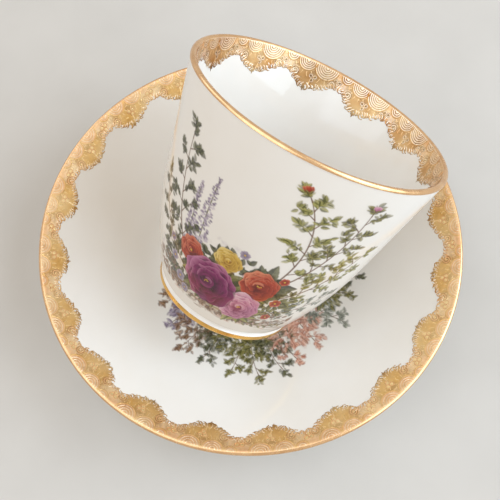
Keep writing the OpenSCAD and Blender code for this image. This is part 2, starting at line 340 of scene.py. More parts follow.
def new_object(name, points, faces, material):
    mesh = bpy.data.meshes.new(name)
    mesh.from_pydata(points, [], faces)
    mesh.shade_smooth()
    mesh.set_sharp_from_angle(angle=SMOOTH_ANGLE)
    mesh.materials.append(material)
    obj = bpy.data.objects.new(name, mesh)
    bpy.context.scene.collection.objects.link(obj)
    return obj


def round_angles(count):
    return np.arange(count) * FULL_TURN / count


def grid_faces(index):
    """Corners of the faces between the rows and the columns of a grid."""
    return np.stack([index[:-1, :-1], index[:-1, 1:], index[1:, 1:], index[1:, :-1]], -1)


def ring_faces(index):
    """List of the faces between rings that close on themselves."""
    return grid_faces(np.hstack([index, index[:, :1]])).reshape(-1, 4).tolist()


def lathe(name, outline, place, material, closed):
    """Turned piece. An outline that isn't closed starts and ends on the axis."""
    ring = np.array(outline if closed else outline[1:-1])
    angles = round_angles(TURN_STEPS)
    r, z = ring[:, :1], np.repeat(ring[:, 1:], TURN_STEPS, axis=1)
    points = np.stack([r * np.cos(angles), r * np.sin(angles), z], -1).reshape(-1, 3)
    index = np.arange(len(points)).reshape(len(ring), TURN_STEPS)
    if closed:
        index = np.vstack([index, index[:1]])
    faces = ring_faces(index)
    if not closed:
        first, last = len(points), len(points) + 1
        points = np.vstack([points, [[0, 0, outline[0][1]], [0, 0, outline[-1][1]]]])
        after = np.roll(index, -1, axis=1)
        faces += [[first, b, a] for a, b in zip(index[0].tolist(), after[0].tolist())]
        faces += [[last, a, b] for a, b in zip(index[-1].tolist(), after[-1].tolist())]
    return new_object(name, place(points), faces, material)


class Art:
    """Patches drawn on a face: each is a grid of places with a lift and a colour."""

    def __init__(self, put, style=None):
        self.put, self.style = put, style
        self.points, self.quads, self.colours = [], [], []
        self.count = 0

    def grid(self, x, y, lift, colour, keep=None):
        x, y = np.asarray(x, float), np.asarray(y, float)
        index = self.count + np.arange(x.size).reshape(x.shape)
        quads = grid_faces(index)[..., [0, 3, 2, 1]]
        down_x, down_y = (np.diff(v, axis=0)[:, :-1] for v in (x, y))
        right_x, right_y = (np.diff(v, axis=1)[:-1] for v in (x, y))
        if (down_x * right_y - down_y * right_x).sum() < 0:
            quads = quads[..., ::-1]
        self.points.append(self.put(x.ravel(), y.ravel(), np.broadcast_to(lift, x.shape).ravel()))
        self.colours.append(np.broadcast_to(colour, x.shape + (3,)).reshape(-1, 3))
        self.quads.append(quads.reshape(-1, 4) if keep is None else quads[keep])
        self.count += x.size

    def make(self, name, material):
        points, quads, colours = (np.concatenate(v) for v in (self.points, self.quads, self.colours))
        used, places = np.unique(quads, return_inverse=True)
        obj = new_object(name, points[used], places.reshape(-1, 4).tolist(), material)
        tint = obj.data.color_attributes.new("tint", "FLOAT_COLOR", "POINT")
        rgba = np.column_stack([colours[used], np.ones(len(used))])
        tint.data.foreach_set("color", rgba.astype(np.float32).ravel())
        return obj


def srgb(r, g, b):
    """Linear colour of three screen values out of 255."""
    return np.array([((v / 255 + 0.055) / 1.055) ** 2.4 for v in (r, g, b)])


def mixed(a, b, share):
    """Colour between two colours, or one for each of many shares."""
    share = np.asarray(share, float)[..., None]
    return a * (1 - share) + b * share


def around(x, y, r, angle):
    """Points round a place."""
    return np.stack([x + r * np.cos(angle), y + r * np.sin(angle)], -1)


def curl(start, way, length, turn, steps=14, bend=1.6):
    """Path that leaves a point and rolls up as it goes."""
    angle = way + turn * np.linspace(0, 1, steps) ** bend
    moves = np.stack([np.cos(angle), np.sin(angle)], -1) * (length / (steps - 1))
    return np.asarray(start) + np.concatenate([[[0, 0]], np.cumsum(moves[:-1], axis=0)])


# Gilt lace: one scallop is drawn in a flat strip, across from its tip and down from the lip

# Scallops round a face, the radius at which a millimetre of the drawing is one along the face, angle of the
# first tip, depths of tip and valley, tones of the gold, shape of the scallop (its two sides, fullness and
# depth of frill), size of the frill's flames, number of specks, width of a ring, and shells: across, down,
# radius, rings
LaceStyle = namedtuple(
    "LaceStyle",
    "count radius first tip valley peach pale ochre bright line deep fill ring dot"
    " left right full frill flame specks ring_w shells",
)
SAUCER_LACE = LaceStyle(
    count=20,
    radius=60.3,
    first=math.pi / 20,
    tip=9.5,
    valley=6.0,
    peach=srgb(250, 196, 146),
    pale=srgb(255, 230, 198),
    ochre=srgb(230, 180, 102),
    bright=srgb(252, 216, 158),
    line=srgb(216, 156, 94),
    deep=srgb(146, 100, 44),
    fill=srgb(246, 192, 142),
    ring=srgb(255, 228, 196),
    dot=srgb(255, 226, 162),
    left=8.0,
    right=5.8,
    full=2.0,
    frill=1.8,
    flame=0.74,
    specks=34,
    ring_w=0.2,
    shells=((-4.5, 0.2, 3.1, 4), (1.8, 0.3, 2.9, 4), (6.6, 0.1, 1.7, 2)),
)
# The cup's border has darker gold tones than the saucer's: painted dark reflection in the gold inside the
# cup, with its pale fills kept.
CUP_LACE = LaceStyle(
    count=12,
    radius=34.6,
    first=0.0,
    tip=9.5,
    valley=5.9,
    peach=srgb(232, 176, 124),
    pale=srgb(255, 240, 224),
    ochre=srgb(186, 128, 62),
    bright=srgb(246, 208, 158),
    line=srgb(146, 88, 38),
    deep=srgb(98, 58, 20),
    fill=srgb(255, 240, 224),
    ring=srgb(146, 88, 38),
    dot=srgb(92, 52, 16),
    left=8.4,
    right=6.2,
    full=1.55,
    frill=2.1,
    flame=0.86,
    specks=24,
    ring_w=0.3,
    shells=((-4.7, 0.1, 3.8, 6), (1.5, 0.3, 3.0, 5), (6.5, 0.1, 1.9, 3)),
)
# Lifts of the drawing off the glaze, each layer a little above the one that it crosses
LACE_LIFT = 0.03
STROKE_LIFT = LACE_LIFT + 0.004
LEAF_LIFT = LACE_LIFT + 0.005
GLEAM_LIFT = LACE_LIFT + 0.006
LACE_RISE = 0.04
# Depths where the peach band along the lip turns to ochre
LACE_BAND = (1.6, 3.4)
# Dark hollows of the ground under the shells: across, down, radius
HOLLOWS = ((-1.5, 3.2, 1.5), (-7.2, 3.4, 1.4), (4.6, 2.9, 1.3))
HOLLOW_SHADE = 0.5
TIP_SHADE = 0.3
# Pale ground in the valleys: where it starts, and how pale it gets
VALLEY_START = 0.75
VALLEY_PALE = 0.6
FILL_EDGE = 0.3
SHELL_STEPS = 22
SHELL_RIM = 1.4
# Trefoils: across, down
TREFOILS = ((-1.6, 4.6), (8.9, 2.9))
TREFOIL_SPREAD = 0.78
TREFOIL_CLEAR = 0.68
TREFOIL_DOT = (0.44, 0.44 * 0.85)
TREFOIL_RING_W = 0.17
TREFOIL_RING = np.linspace(0, FULL_TURN, 17)
TREFOIL_WAYS = (UP, UP + 2.1, UP - 2.1)
# Scrolls: across, down, radius, hand
SCROLLS = ((-8.0, 3.9, 1.35, 1), (4.4, 4.4, 1.4, -1))
SCROLL_STEPS = 38
SCROLL_LINE_W = 0.42
SCROLL_START = 0.4
SCROLL_TURN = 11.0
SCROLL_CLOSE = 0.78
SCROLL_EYE = 0.26
GROUND_COLS = 90
GROUND_ROWS = 36
FRILL_STEPS = 240
# Layers of flames: size, inset, place along the step
FLAME_LAYERS = ((1.0, 0.35, 0.5), (0.62, 0.3, 0.05))
FLAME_STEP = 1.12
FLAME_LENGTH = 2.9
FLAME_W = 0.6
FLAME_END_W = 0.1
FLAME_BALL = 0.25
# Chance of each flame: its place, length, lean, roll and shade, and the shares of the flames that roll to
# their side's hand and that end in a ball
FLAME_PLACE = (-0.25, 0.25)
FLAME_LONG = (0.8, 1.15)
FLAME_LEAN = (0.3, 0.8)
FLAME_ROLL = (2.2, 3.8)
FLAME_DARK = (0.7, 1.5)
FLAMES_HANDED = 0.8
FLAMES_BALLED = 0.6
# Light strokes between the flames: width, and the chance of place, inset, lean, length and roll
GLEAM_W = 0.44
GLEAM_PLACE = (0.8, 1.2)
GLEAM_INSET = (0.2, 1.0)
GLEAM_LEAN = (0.4, 0.8)
GLEAM_LENGTH = (1.5, 2.5)
GLEAM_ROLL = (1.0, 2.4)
# Specks: share of the depth below the band, brightness, radius
SPECK_DEPTH = (-0.1, 0.95)
SPECK_LIGHT = (0.1, 0.8)
SPECK_R = (0.12, 0.22)
# Leaves at the tip: way, length; how far up they start, their width and shape
TIP_LEAVES = ((UP, 1.9), (UP + 0.55, 1.3), (UP - 0.55, 1.3))
TIP_LEAF_START = 2.0
TIP_LEAF_W = 0.62
TIP_LEAF_SHAPE = np.sin(np.linspace(0.25, 2.95, 9))
# Rib above them: start across and up from the tip, way, length, turn, widths of its ends
TIP_RIB = (-1.1, 4.6, UP + 0.1, 2.8, -0.5)
TIP_RIB_W = (0.2, 0.5)
# Ribs under a shell: ways, gap to the shell, chance of length and turn, widths of the ends
RIB_WAYS = np.linspace(0.55, math.pi - 0.55, 6)
RIB_GAP = 0.25
RIB_LENGTH = (1.0, 1.6)
RIB_TURN = (-0.9, 0.9)
RIB_W = (0.34, 0.12)
HATCH_STEP = 0.62
HATCH_LENGTH = 0.7
HATCH_W = 0.22
# Places across a stroke and their rise, and rings of a dot and their rise
RIBBON_ACROSS = np.array([-1.0, -0.5, 0.5, 1.0])
RIBBON_RISE = np.array([0.0, 1.0, 1.0, 0.0])
OVAL_RINGS = np.array([0.02, 0.55, 1.0])
OVAL_RISE = np.array([1.0, 0.8, 0.0])


def ribbon(art, path, widths, colour, lift=LACE_LIFT, rise=LACE_RISE):
    """A stroke along a path, raised along its middle."""
    half = np.broadcast_to(widths, len(path)) / 2
    place = path[:, None, :] + path_frame(path)[:, None, :] * half[:, None, None] * RIBBON_ACROSS[:, None]
    colour = colour if colour.ndim == 1 else colour[:, None, :]
    art.grid(place[..., 0], place[..., 1], (lift + rise * RIBBON_RISE)[None, :], colour)


def oval(art, x, y, rx, ry, colour, lift=LACE_LIFT, way=0.0, sides=12):
    """A raised dot."""
    angle = np.linspace(0, FULL_TURN, sides + 1)
    px = rx * OVAL_RINGS[:, None] * np.cos(angle)
    py = ry * OVAL_RINGS[:, None] * np.sin(angle)
    c, s = math.cos(way), math.sin(way)
    art.grid(x + c * px - s * py, y + s * px + c * py, (lift + LACE_RISE * OVAL_RISE)[:, None], colour)


def lace_pitch(style):
    return FULL_TURN * style.radius / style.count


def lobe_share(s, style):
    """How far a place across a scallop is from its tip, one in the valleys."""
    s = np.asarray(s, float)
    return np.clip(np.where(s < 0, -s / style.left, s / style.right), 0, 1)


def lace_edge(s, style):
    """Depth of the scalloped edge at a place across it."""
    return style.valley + (style.tip - style.valley) * (1 - lobe_share(s, style) ** style.full)


def lace_low(depth, style):
    """Share of a depth between valley and tip."""
    return np.clip((depth - style.valley) / (style.tip - style.valley), 0, 1)


def lace_strip(style, steps):
    """Places across one scallop, whose tip is at zero."""
    half = lace_pitch(style) / 2
    return np.linspace(-half, half, steps + 1) + (style.right - style.left) / 2


def lace_ground(art, centre):
    """Gold ground: a peach band along the lip, ochre below it, darker towards the tip."""
    style, pitch = art.style, lace_pitch(art.style)
    s = lace_strip(style, GROUND_COLS)
    share = np.linspace(0, 1, GROUND_ROWS + 1)[:, None]
    depth = (lace_edge(s, style) - style.frill) * share
    place = np.broadcast_to(s, depth.shape)

    def inside(across, down, r, soft):
        near = np.zeros(depth.shape)
        for lap in (-pitch, 0, pitch):
            far = np.hypot(place - across - lap, depth - down)
            near = np.maximum(near, np.clip((r - far) / soft + 0.5, 0, 1))
        return near

    band = (depth - LACE_BAND[0]) / (LACE_BAND[1] - LACE_BAND[0])
    colour = mixed(style.peach, style.ochre, np.clip(band, 0, 1))
    colour = mixed(colour, style.deep, TIP_SHADE * share**3 * lace_low(depth + style.frill, style))
    for across, down, r in HOLLOWS:
        colour = mixed(colour, style.deep, HOLLOW_SHADE * inside(across, down, r, r))
    valley = np.clip((lobe_share(s, style) - VALLEY_START) / (1 - VALLEY_START), 0, 1)
    colour = mixed(colour, style.pale, VALLEY_PALE * valley * np.clip(band + 0.5, 0, 1))
    fills = [shell[:3] for shell in style.shells] + [scroll[:3] for scroll in SCROLLS]
    for foil in TREFOILS:
        fills += [(*(foil + TREFOIL_SPREAD * unit(way)), TREFOIL_CLEAR) for way in TREFOIL_WAYS]
    for across, down, r in fills:
        colour = mixed(colour, style.fill, inside(across, down, r, FILL_EDGE))
    art.grid(centre + place, depth, LACE_LIFT, colour)


def lace_shell(art, centre, down, radius, rings):
    """Fan of half rings that opens to the lip and ends there."""
    for k in range(rings):
        r = radius * (k + 1) / rings
        last = k == rings - 1
        tone = art.style.ochre if last else art.style.ring
        width = art.style.ring_w * (SHELL_RIM if last else 1)
        start = math.asin((width / 2 - down) / r)
        angle = np.linspace(start, math.pi - start, SHELL_STEPS)
        ribbon(art, around(centre, down, r, angle), width, tone)


def lace_trefoil(art, centre, down):
    """Three dots, each in a ring."""
    for way in TREFOIL_WAYS:
        x, y = (centre, down) + TREFOIL_SPREAD * unit(way)
        oval(art, x, y, *TREFOIL_DOT, art.style.dot, way=way)
        ribbon(art, around(x, y, TREFOIL_CLEAR, TREFOIL_RING), TREFOIL_RING_W, art.style.line)


def lace_scroll(art, centre, down, radius, hand):
    """Spiral of a turn and three quarters with a dot in its eye."""
    t = np.linspace(0, 1, SCROLL_STEPS)
    angle = UP - hand * (SCROLL_START + SCROLL_TURN * t)
    path = around(centre, down, radius * (1 - SCROLL_CLOSE * t), angle)
    tone = mixed(art.style.line, art.style.deep, 0.3 + 0.6 * t)
    ribbon(art, path, SCROLL_LINE_W * (1 - 0.4 * t), tone)
    oval(art, centre, down, SCROLL_EYE, SCROLL_EYE, art.style.dot)


def lace_frill(art, centre, rng):
    """Foam of curled flames along the scalloped edge, dark at its tip and light in the valleys."""
    style = art.style
    fine = lace_strip(style, FRILL_STEPS)
    edge = np.stack([fine, lace_edge(fine, style) - style.frill], -1)
    across = path_frame(edge)
    length = path_length(edge)
    count = round(length[-1] / (FLAME_STEP * style.flame))

    def rooted(share, inset):
        """Place across the scallop, start of a stroke inside the edge, way out of it and hand of its curl."""
        at = share * length[-1]
        x, y, nx, ny = [np.interp(at, length, v) for v in (*edge.T, *across.T)]
        start = np.array([centre + x - nx * inset, y - ny * inset])
        return x, start, math.atan2(ny, nx), 1.0 if x < 0 else -1.0

    for scale, inset, late in FLAME_LAYERS:
        size = scale * style.flame
        for i in range(count):
            share = (i + late + rng.uniform(*FLAME_PLACE)) / count
            x, start, out, hand = rooted(share, inset * style.flame)
            hand *= 1 if rng.random() < FLAMES_HANDED else -1
            low = lace_low(lace_edge(x, style), style)
            long = FLAME_LENGTH * size * rng.uniform(*FLAME_LONG) * (0.9 + 0.1 * low)
            way = out - hand * rng.uniform(*FLAME_LEAN)
            path = curl(start, way, long, hand * rng.uniform(*FLAME_ROLL), steps=9, bend=1.25)
            t = np.linspace(0, 1, len(path))
            swell = (1 - t) ** 0.6 * (0.6 + 0.4 * np.sin(math.pi * t))
            light = mixed(style.peach, style.ochre, low)
            dark = mixed(style.line, style.deep, 0.3 + 0.7 * low)
            tone = mixed(light, dark, np.clip(t * rng.uniform(*FLAME_DARK) + 0.1 * low, 0, 1))
            ribbon(art, path, FLAME_W * size**0.5 * swell + FLAME_END_W, tone, STROKE_LIFT)
            if rng.random() < FLAMES_BALLED:
                r = FLAME_BALL * size**0.5
                oval(art, *path[-1], r, r * 0.9, dark, GLEAM_LIFT, sides=9)
    for i in range(count):
        share = (i + rng.uniform(*GLEAM_PLACE)) / count
        _, start, out, hand = rooted(share, style.flame * rng.uniform(*GLEAM_INSET))
        way = out + hand * rng.uniform(*GLEAM_LEAN)
        long = style.flame * rng.uniform(*GLEAM_LENGTH)
        path = curl(start, way, long, -hand * rng.uniform(*GLEAM_ROLL), steps=7)
        swell = np.sin(math.pi * (0.12 + 0.8 * np.linspace(0, 1, len(path))))
        ribbon(art, path, GLEAM_W * style.flame**0.5 * swell, style.pale, GLEAM_LIFT)


def lace_specks(art, centre, rng):
    """Fine raised dots strewn over the matt ground of the lobe."""
    style = art.style
    for _ in range(style.specks):
        x = rng.uniform(-style.left, style.right)
        end = lace_edge(x, style) - style.frill
        y = LACE_BAND[1] + (end - LACE_BAND[1]) * rng.uniform(*SPECK_DEPTH)
        tone = mixed(style.ochre, style.dot, rng.uniform(*SPECK_LIGHT))
        r = rng.uniform(*SPECK_R)
        oval(art, centre + x, y, r, r, tone, sides=7)


def lace_leaves(art, centre):
    """Three small leaves at the tip and a rib that feeds them."""
    size, tip = art.style.flame, art.style.tip
    for way, long in TIP_LEAVES:
        start = np.array([centre, tip - TIP_LEAF_START * size])
        path = start + np.linspace(0, long * size, len(TIP_LEAF_SHAPE))[:, None] * unit(way)
        ribbon(art, path, TIP_LEAF_W * size * TIP_LEAF_SHAPE, art.style.deep, LEAF_LIFT)
    across, up, *bend = TIP_RIB
    rib = curl(np.array([centre + across, tip - up]), *bend)
    ribbon(art, rib, np.linspace(*TIP_RIB_W, len(rib)), art.style.bright, STROKE_LIFT)


def lace_ribs(art, centre, rng):
    """Light ribs on the matt ground, fanned out under the shells."""
    for across, down, radius, _ in art.style.shells:
        for way in RIB_WAYS:
            start = np.array([centre + across, down]) + (radius + RIB_GAP) * unit(way)
            path = curl(start, way, rng.uniform(*RIB_LENGTH), rng.uniform(*RIB_TURN), steps=7)
            widths = np.linspace(*RIB_W, len(path))
            ribbon(art, path, widths, art.style.bright, STROKE_LIFT, LACE_RISE / 2)


def lace_hatch(art, centre):
    """Short strokes side by side along the lip."""
    style, half = art.style, lace_pitch(art.style) / 2
    for s in np.arange(-half, half, HATCH_STEP) + (style.right - style.left) / 2:
        path = np.array([[centre + s, 0], [centre + s, HATCH_LENGTH]])
        ribbon(art, path, HATCH_W, style.bright, STROKE_LIFT, LACE_RISE / 2)


def lace_border(ground, relief, rng):
    """A whole border: scallops side by side round a face."""
    style = relief.style
    for i in range(style.count):
        centre = style.first * style.radius + lace_pitch(style) * i
        lace_ground(ground, centre)
        for drawn, places in ((lace_shell, style.shells), (lace_trefoil, TREFOILS), (lace_scroll, SCROLLS)):
            for across, *shape in places:
                drawn(relief, centre + across, *shape)
        lace_frill(relief, centre, rng)
        lace_specks(relief, centre, rng)
        lace_leaves(relief, centre)
        lace_ribs(relief, centre, rng)
        lace_hatch(relief, centre)


# Painting: flowers brushed on a fine grid that lies on a face, x to the right and y up

PAINT_LIFT = 0.02
PAINT_EDGE = 0.26
LEAST_COVER = 0.004
# Way that the painted light comes from, and the leaves in a tuft
LIGHT_WAY = 2.3
TUFT_LEAVES = 17
# Where a petal is widest, and the width of its turned-over rim
PETAL_WIDEST = 0.62
PETAL_RIM = 0.07
# Teeth and veins along a leaf, their strength, and half the width of its rib
LEAF_TEETH = (6, 0.14)
LEAF_VEINS = (5, 0.12)
LEAF_RIB = 0.09
# Rings of a full flower from the outside in: size, petals
BLOOM_RINGS = ((1.0, 7), (0.84, 6), (0.66, 6), (0.5, 5))
SPRAY_STEP = 2.4
SPRAY_START = 0.12
SPRAY_COVER = 0.75
PLUME_COVER = 0.85
TURF_COVER = 0.45
# Widths of the two ends of a bough's stem, of a spray's stem and of a twig
STEM_W = (0.5, 0.2)
SPRAY_STEM_W = (0.5, 0.5 * 0.45)
TWIG_W = (0.3, 0.16)
SWEEP_STEPS = 40

PORCELAIN_WHITE = srgb(236, 234, 230)
PORCELAIN_SHADE = srgb(232, 229, 223)
# Dark, middle and light tone
MAGENTA = (srgb(62, 6, 42), srgb(126, 30, 92), srgb(214, 150, 184))
ROSE = (srgb(132, 58, 96), srgb(196, 130, 160), srgb(240, 216, 222))
CORAL = (srgb(100, 24, 14), srgb(174, 66, 42), srgb(230, 156, 120))
LILAC = (srgb(98, 86, 112), srgb(154, 142, 164), srgb(206, 198, 208))
YELLOW = (srgb(146, 102, 34), srgb(204, 168, 72), srgb(240, 224, 156))
LEAF_DARK = (srgb(44, 46, 32), srgb(86, 88, 62), srgb(132, 132, 100))
LEAF_OLIVE = (srgb(62, 60, 26), srgb(116, 112, 56), srgb(170, 162, 100))
LEAF_SPRING = (srgb(80, 82, 32), srgb(142, 140, 72), srgb(196, 190, 126))
LEAF_GREY = (srgb(88, 94, 84), srgb(134, 140, 126), srgb(184, 188, 174))
LEAF_CORAL = (srgb(170, 106, 86), srgb(212, 160, 138), srgb(236, 208, 192))
LEAF_BROWN = (srgb(80, 54, 36), srgb(138, 104, 78), srgb(190, 160, 130))
STEM_BROWN = srgb(112, 86, 68)
STEM_GREEN = srgb(92, 92, 44)
EYE_GOLD = srgb(220, 180, 70)


class Canvas:
    """Paint on a face: a colour and a cover at each point of a fine grid, with the chance of its strokes."""

    def __init__(self, left, right, low, high, step, seed):
        self.x, self.y = np.arange(left, right, step), np.arange(low, high, step)
        shape = (len(self.y), len(self.x))
        self.colour, self.cover = np.zeros(shape + (3,)), np.zeros(shape)
        self.rng = random.Random(seed)

    def window(self, x, y, reach):
        """Part of the grid round a place, with the distances from it."""
        cols = slice(*np.searchsorted(self.x, (x - reach, x + reach)))
        rows = slice(*np.searchsorted(self.y, (y - reach, y + reach)))
        px, py = np.meshgrid(self.x[cols] - x, self.y[rows] - y)
        return (rows, cols), px, py

    def lay(self, part, colour, cover):
        """Lays paint over the paint that is there."""
        cover = np.clip(cover, 0, 1)
        total = cover + self.cover[part] * (1 - cover)
        share = (cover / np.maximum(total, 1e-6))[..., None]
        self.colour[part] = self.colour[part] * (1 - share) + colour * share
        self.cover[part] = total

    def make(self, name, put, material):
        ground = (PORCELAIN_WHITE + PORCELAIN_SHADE) / 2
        cover = self.cover[..., None]
        art = Art(put)
        x, y = np.meshgrid(self.x, self.y)
        painted = self.cover > LEAST_COVER
        keep = painted[:-1, :-1] | painted[1:, :-1] | painted[1:, 1:] | painted[:-1, 1:]
        art.grid(x, y, PAINT_LIFT, ground * (1 - cover) + self.colour * cover, keep)
        return art.make(name, material)


def toned(tones, share):
    """Colour from a dark, a middle and a light tone."""
    share = np.clip(share, 0, 1)
    low = mixed(tones[0], tones[1], np.clip(share * 2, 0, 1))
    return low + (tones[2] - low) * np.clip(share * 2 - 1, 0, 1)[..., None]


def turned(px, py, way):
    c, s = math.cos(way), math.sin(way)
    return px * c + py * s, py * c - px * s


def strewn(rng, x, y, rx, ry):
    """Chance place in an oval, and its way from the middle."""
    way, far = rng.uniform(0, FULL_TURN), math.sqrt(rng.random())
    return (x + rx * far * math.cos(way), y + ry * far * math.sin(way)), way


def lay_blade(canvas, part, tones, share, along, margin, cover):
    """Lays a petal or a leaf from its foot to its end, with soft sides."""
    edge = np.clip(margin / PAINT_EDGE + 0.5, 0, 1)
    canvas.lay(part, toned(tones, share), np.where((along > 0) & (along < 1), edge * cover, 0))


def petal(canvas, x, y, way, length, width, tones, light=0.0, cover=0.95):
    """Broad round petal, dark at its foot, with fine streaks and a pale turned-over rim."""
    rng = canvas.rng
    part, px, py = canvas.window(x, y, length * 1.2)
    u, v = turned(px, py, way)
    v = (v - rng.uniform(-0.1, 0.1) * u * u / length) / (width / 2)
    phase, waves = rng.uniform(0, 6.3), rng.uniform(3, 6)
    u = u / length / (1 + 0.05 * np.sin(waves * v + phase))
    inside = np.clip(u, 0, 1)
    foot = (inside / PETAL_WIDEST) ** 0.6
    head = np.sqrt(np.clip(1 - ((inside - PETAL_WIDEST) / (1 - PETAL_WIDEST)) ** 2, 0, 1))
    margin = (np.where(inside < PETAL_WIDEST, foot, head) - np.abs(v)) * width / 2
    rim = np.clip(1 - margin / (PETAL_RIM * length), 0, 1) * (inside > 0.5)
    streak = np.sin(v * 11 + phase + 2 * np.sin(u * 4)) + 0.5 * np.sin(v * 23 + 3 * phase)
    share = 0.06 + 0.62 * inside**1.6 + 0.09 * streak * (1.1 - inside) + 0.1 * v + light + 0.2 * rim
    lay_blade(canvas, part, tones, share, u, margin, cover)


def leaf(canvas, x, y, way, length, width, tones, cover=0.92):
    """Pointed leaf with a bend, one half lighter, side veins and a pale rib."""
    rng = canvas.rng
    part, px, py = canvas.window(x, y, length * 1.2)
    u, v = turned(px, py, way)
    u = u / length
    across = v - rng.uniform(-0.25, 0.25) * length * u * u
    inside = np.clip(u, 0, 1)
    teeth = 1 + LEAF_TEETH[1] * (np.modf(inside * LEAF_TEETH[0])[0] - 0.5)
    half = np.maximum(width / 2 * np.sin(math.pi * inside**0.8) ** 0.85 * teeth, 1e-3)
    side = across / half
    vein = np.abs(np.modf(inside * LEAF_VEINS[0] - 0.5 * np.abs(side) + 2)[0] - 0.5) < LEAF_VEINS[1]
    rib = np.abs(across) < LEAF_RIB
    share = rng.uniform(0.25, 0.5) + 0.28 * np.clip(side * 3, -1, 1) * rng.choice((-1, 1))
    share = share + 0.25 * (inside - 0.5) - 0.14 * vein + 0.25 * rib
    lay_blade(canvas, part, tones, share, u, half - np.abs(across), cover)


def dab(canvas, x, y, rx, ry, way, colour, cover, soft=0.5):
    """Oval touch of the brush with a soft edge."""
    part, px, py = canvas.window(x, y, max(rx, ry) * 1.1)
    u, v = turned(px, py, way)
    distance = np.hypot(u / rx, v / ry)
    canvas.lay(part, colour, cover * np.clip((1 - distance) / soft, 0, 1))


def stroke(canvas, path, widths, colour, cover):
    """Line of the brush along a path."""
    middle = (path.min(0) + path.max(0)) / 2
    part, px, py = canvas.window(*middle, np.abs(path - middle).max() + 1)
    widths = np.broadcast_to(widths, len(path))
    covered = np.zeros(px.shape)
    for (ax, ay), (bx, by), w in zip(path[:-1] - middle, path[1:] - middle, widths):
        dx, dy = bx - ax, by - ay
        t = np.clip(((px - ax) * dx + (py - ay) * dy) / max(dx * dx + dy * dy, 1e-9), 0, 1)
        distance = np.hypot(px - ax - t * dx, py - ay - t * dy)
        covered = np.maximum(covered, np.clip((w / 2 - distance) / (PAINT_EDGE / 2) + 0.5, 0, 1))
    canvas.lay(part, colour, covered * cover)


def stem(canvas, path, widths, cover):
    stroke(canvas, path, np.linspace(*widths, len(path)), STEM_BROWN, cover)


def sweep(*points):
    """Path through the pull of four points."""
    return cubic([np.asarray(v, float) for v in points], np.linspace(0, 1, SWEEP_STEPS)[:, None])


def heart(canvas, x, y, r, tones):
    """Rolled middle of a full flower: crescents in a dark cup, with a few stamens."""
    rng = canvas.rng
    dab(canvas, x, y, r * 1.15, r, 0.0, tones[0], 0.75, 0.6)
    for k in range(7):
        far = r * (0.98 - 0.12 * k)
        angle = rng.uniform(0, FULL_TURN) + np.linspace(0, rng.uniform(1.8, 2.8), 12)
        path = np.stack([x + far * np.cos(angle), y + 0.85 * far * np.sin(angle)], -1)
        widths = r * 0.3 * np.sin(np.linspace(0.2, math.pi - 0.1, 12))
        lit = 0.34 + 0.3 * (k % 2) + 0.16 * math.cos(angle.mean() - LIGHT_WAY)
        stroke(canvas, path, widths, toned(tones, lit), 0.85)
    for _ in range(5):
        way, far = rng.uniform(0, FULL_TURN), r * 0.3 * rng.random()
        dab(canvas, x + far * math.cos(way), y + far * math.sin(way), 0.26, 0.26, 0, EYE_GOLD, 0.75)


def bloom(canvas, x, y, r, tones):
    """Full flower: rings of petals, each laid over a shadow, round a rolled heart."""
    rng = canvas.rng
    shadow = (tones[0] * 0.7,) * 3
    for depth, (size, count) in enumerate(BLOOM_RINGS):
        turn = rng.uniform(0, FULL_TURN)
        dab(canvas, x, y, r * size * 0.9, r * size * 0.85, turn, tones[0], 0.45)
        for k in range(count):
            way = turn + FULL_TURN * k / count + rng.uniform(-0.18, 0.18)
            long = r * size * rng.uniform(0.88, 1.06)
            light = 0.17 * math.cos(way - LIGHT_WAY) - 0.04 * depth + rng.uniform(-0.05, 0.05)
            petal(canvas, x, y, way + 0.1, long * 1.02, long * 1.1, shadow, 0.0, 0.4)
            petal(canvas, x, y, way, long, long * rng.uniform(0.95, 1.15), tones, light)
    heart(canvas, x, y + r * 0.04, r * 0.34, tones)


def floret(canvas, x, y, r, tones):
    """Small open flower of five petals with a yellow eye."""
    for angle in canvas.rng.uniform(0, FULL_TURN) + round_angles(5):
        petal(canvas, x, y, angle, r, r * 0.95, tones, 0.1)
    dab(canvas, x, y, r * 0.24, r * 0.24, 0, EYE_GOLD, 0.95)


def bud(canvas, x, y, way, r, tones):
    """Closed flower with two small leaves at its foot."""
    for turn in (-0.35, 0.35, 0.0):
        petal(canvas, x, y, way + turn, r * 2, r * 1.1, tones, 0.05)
    for turn in (-0.6, 0.6):
        leaf(canvas, x, y, way + turn, r * 1.3, r * 0.45, LEAF_OLIVE)


def spray(canvas, path, size, tones):
    """Stem with leaves on both sides that get smaller to its end."""
    rng = canvas.rng
    stem(canvas, path, SPRAY_STEM_W, SPRAY_COVER)
    length = path_length(path)
    at, hand = length[-1] * SPRAY_START, 1
    while at < length[-1]:
        x, y = (np.interp(at, length, v) for v in path.T)
        k = min(np.searchsorted(length, at), len(path) - 1)
        way = heading(path[k - 1], path[k]) + hand * rng.uniform(0.6, 1.1)
        long = size * (1.1 - 0.5 * at / length[-1]) * rng.uniform(0.8, 1.15)
        leaf(canvas, x, y, way, long, long * rng.uniform(0.42, 0.6), tones, SPRAY_COVER)
        at, hand = at + SPRAY_STEP * rng.uniform(0.4, 0.75), -hand
    leaf(canvas, *path[-1], heading(path[-2], path[-1]), size * 0.7, size * 0.34, tones, SPRAY_COVER)


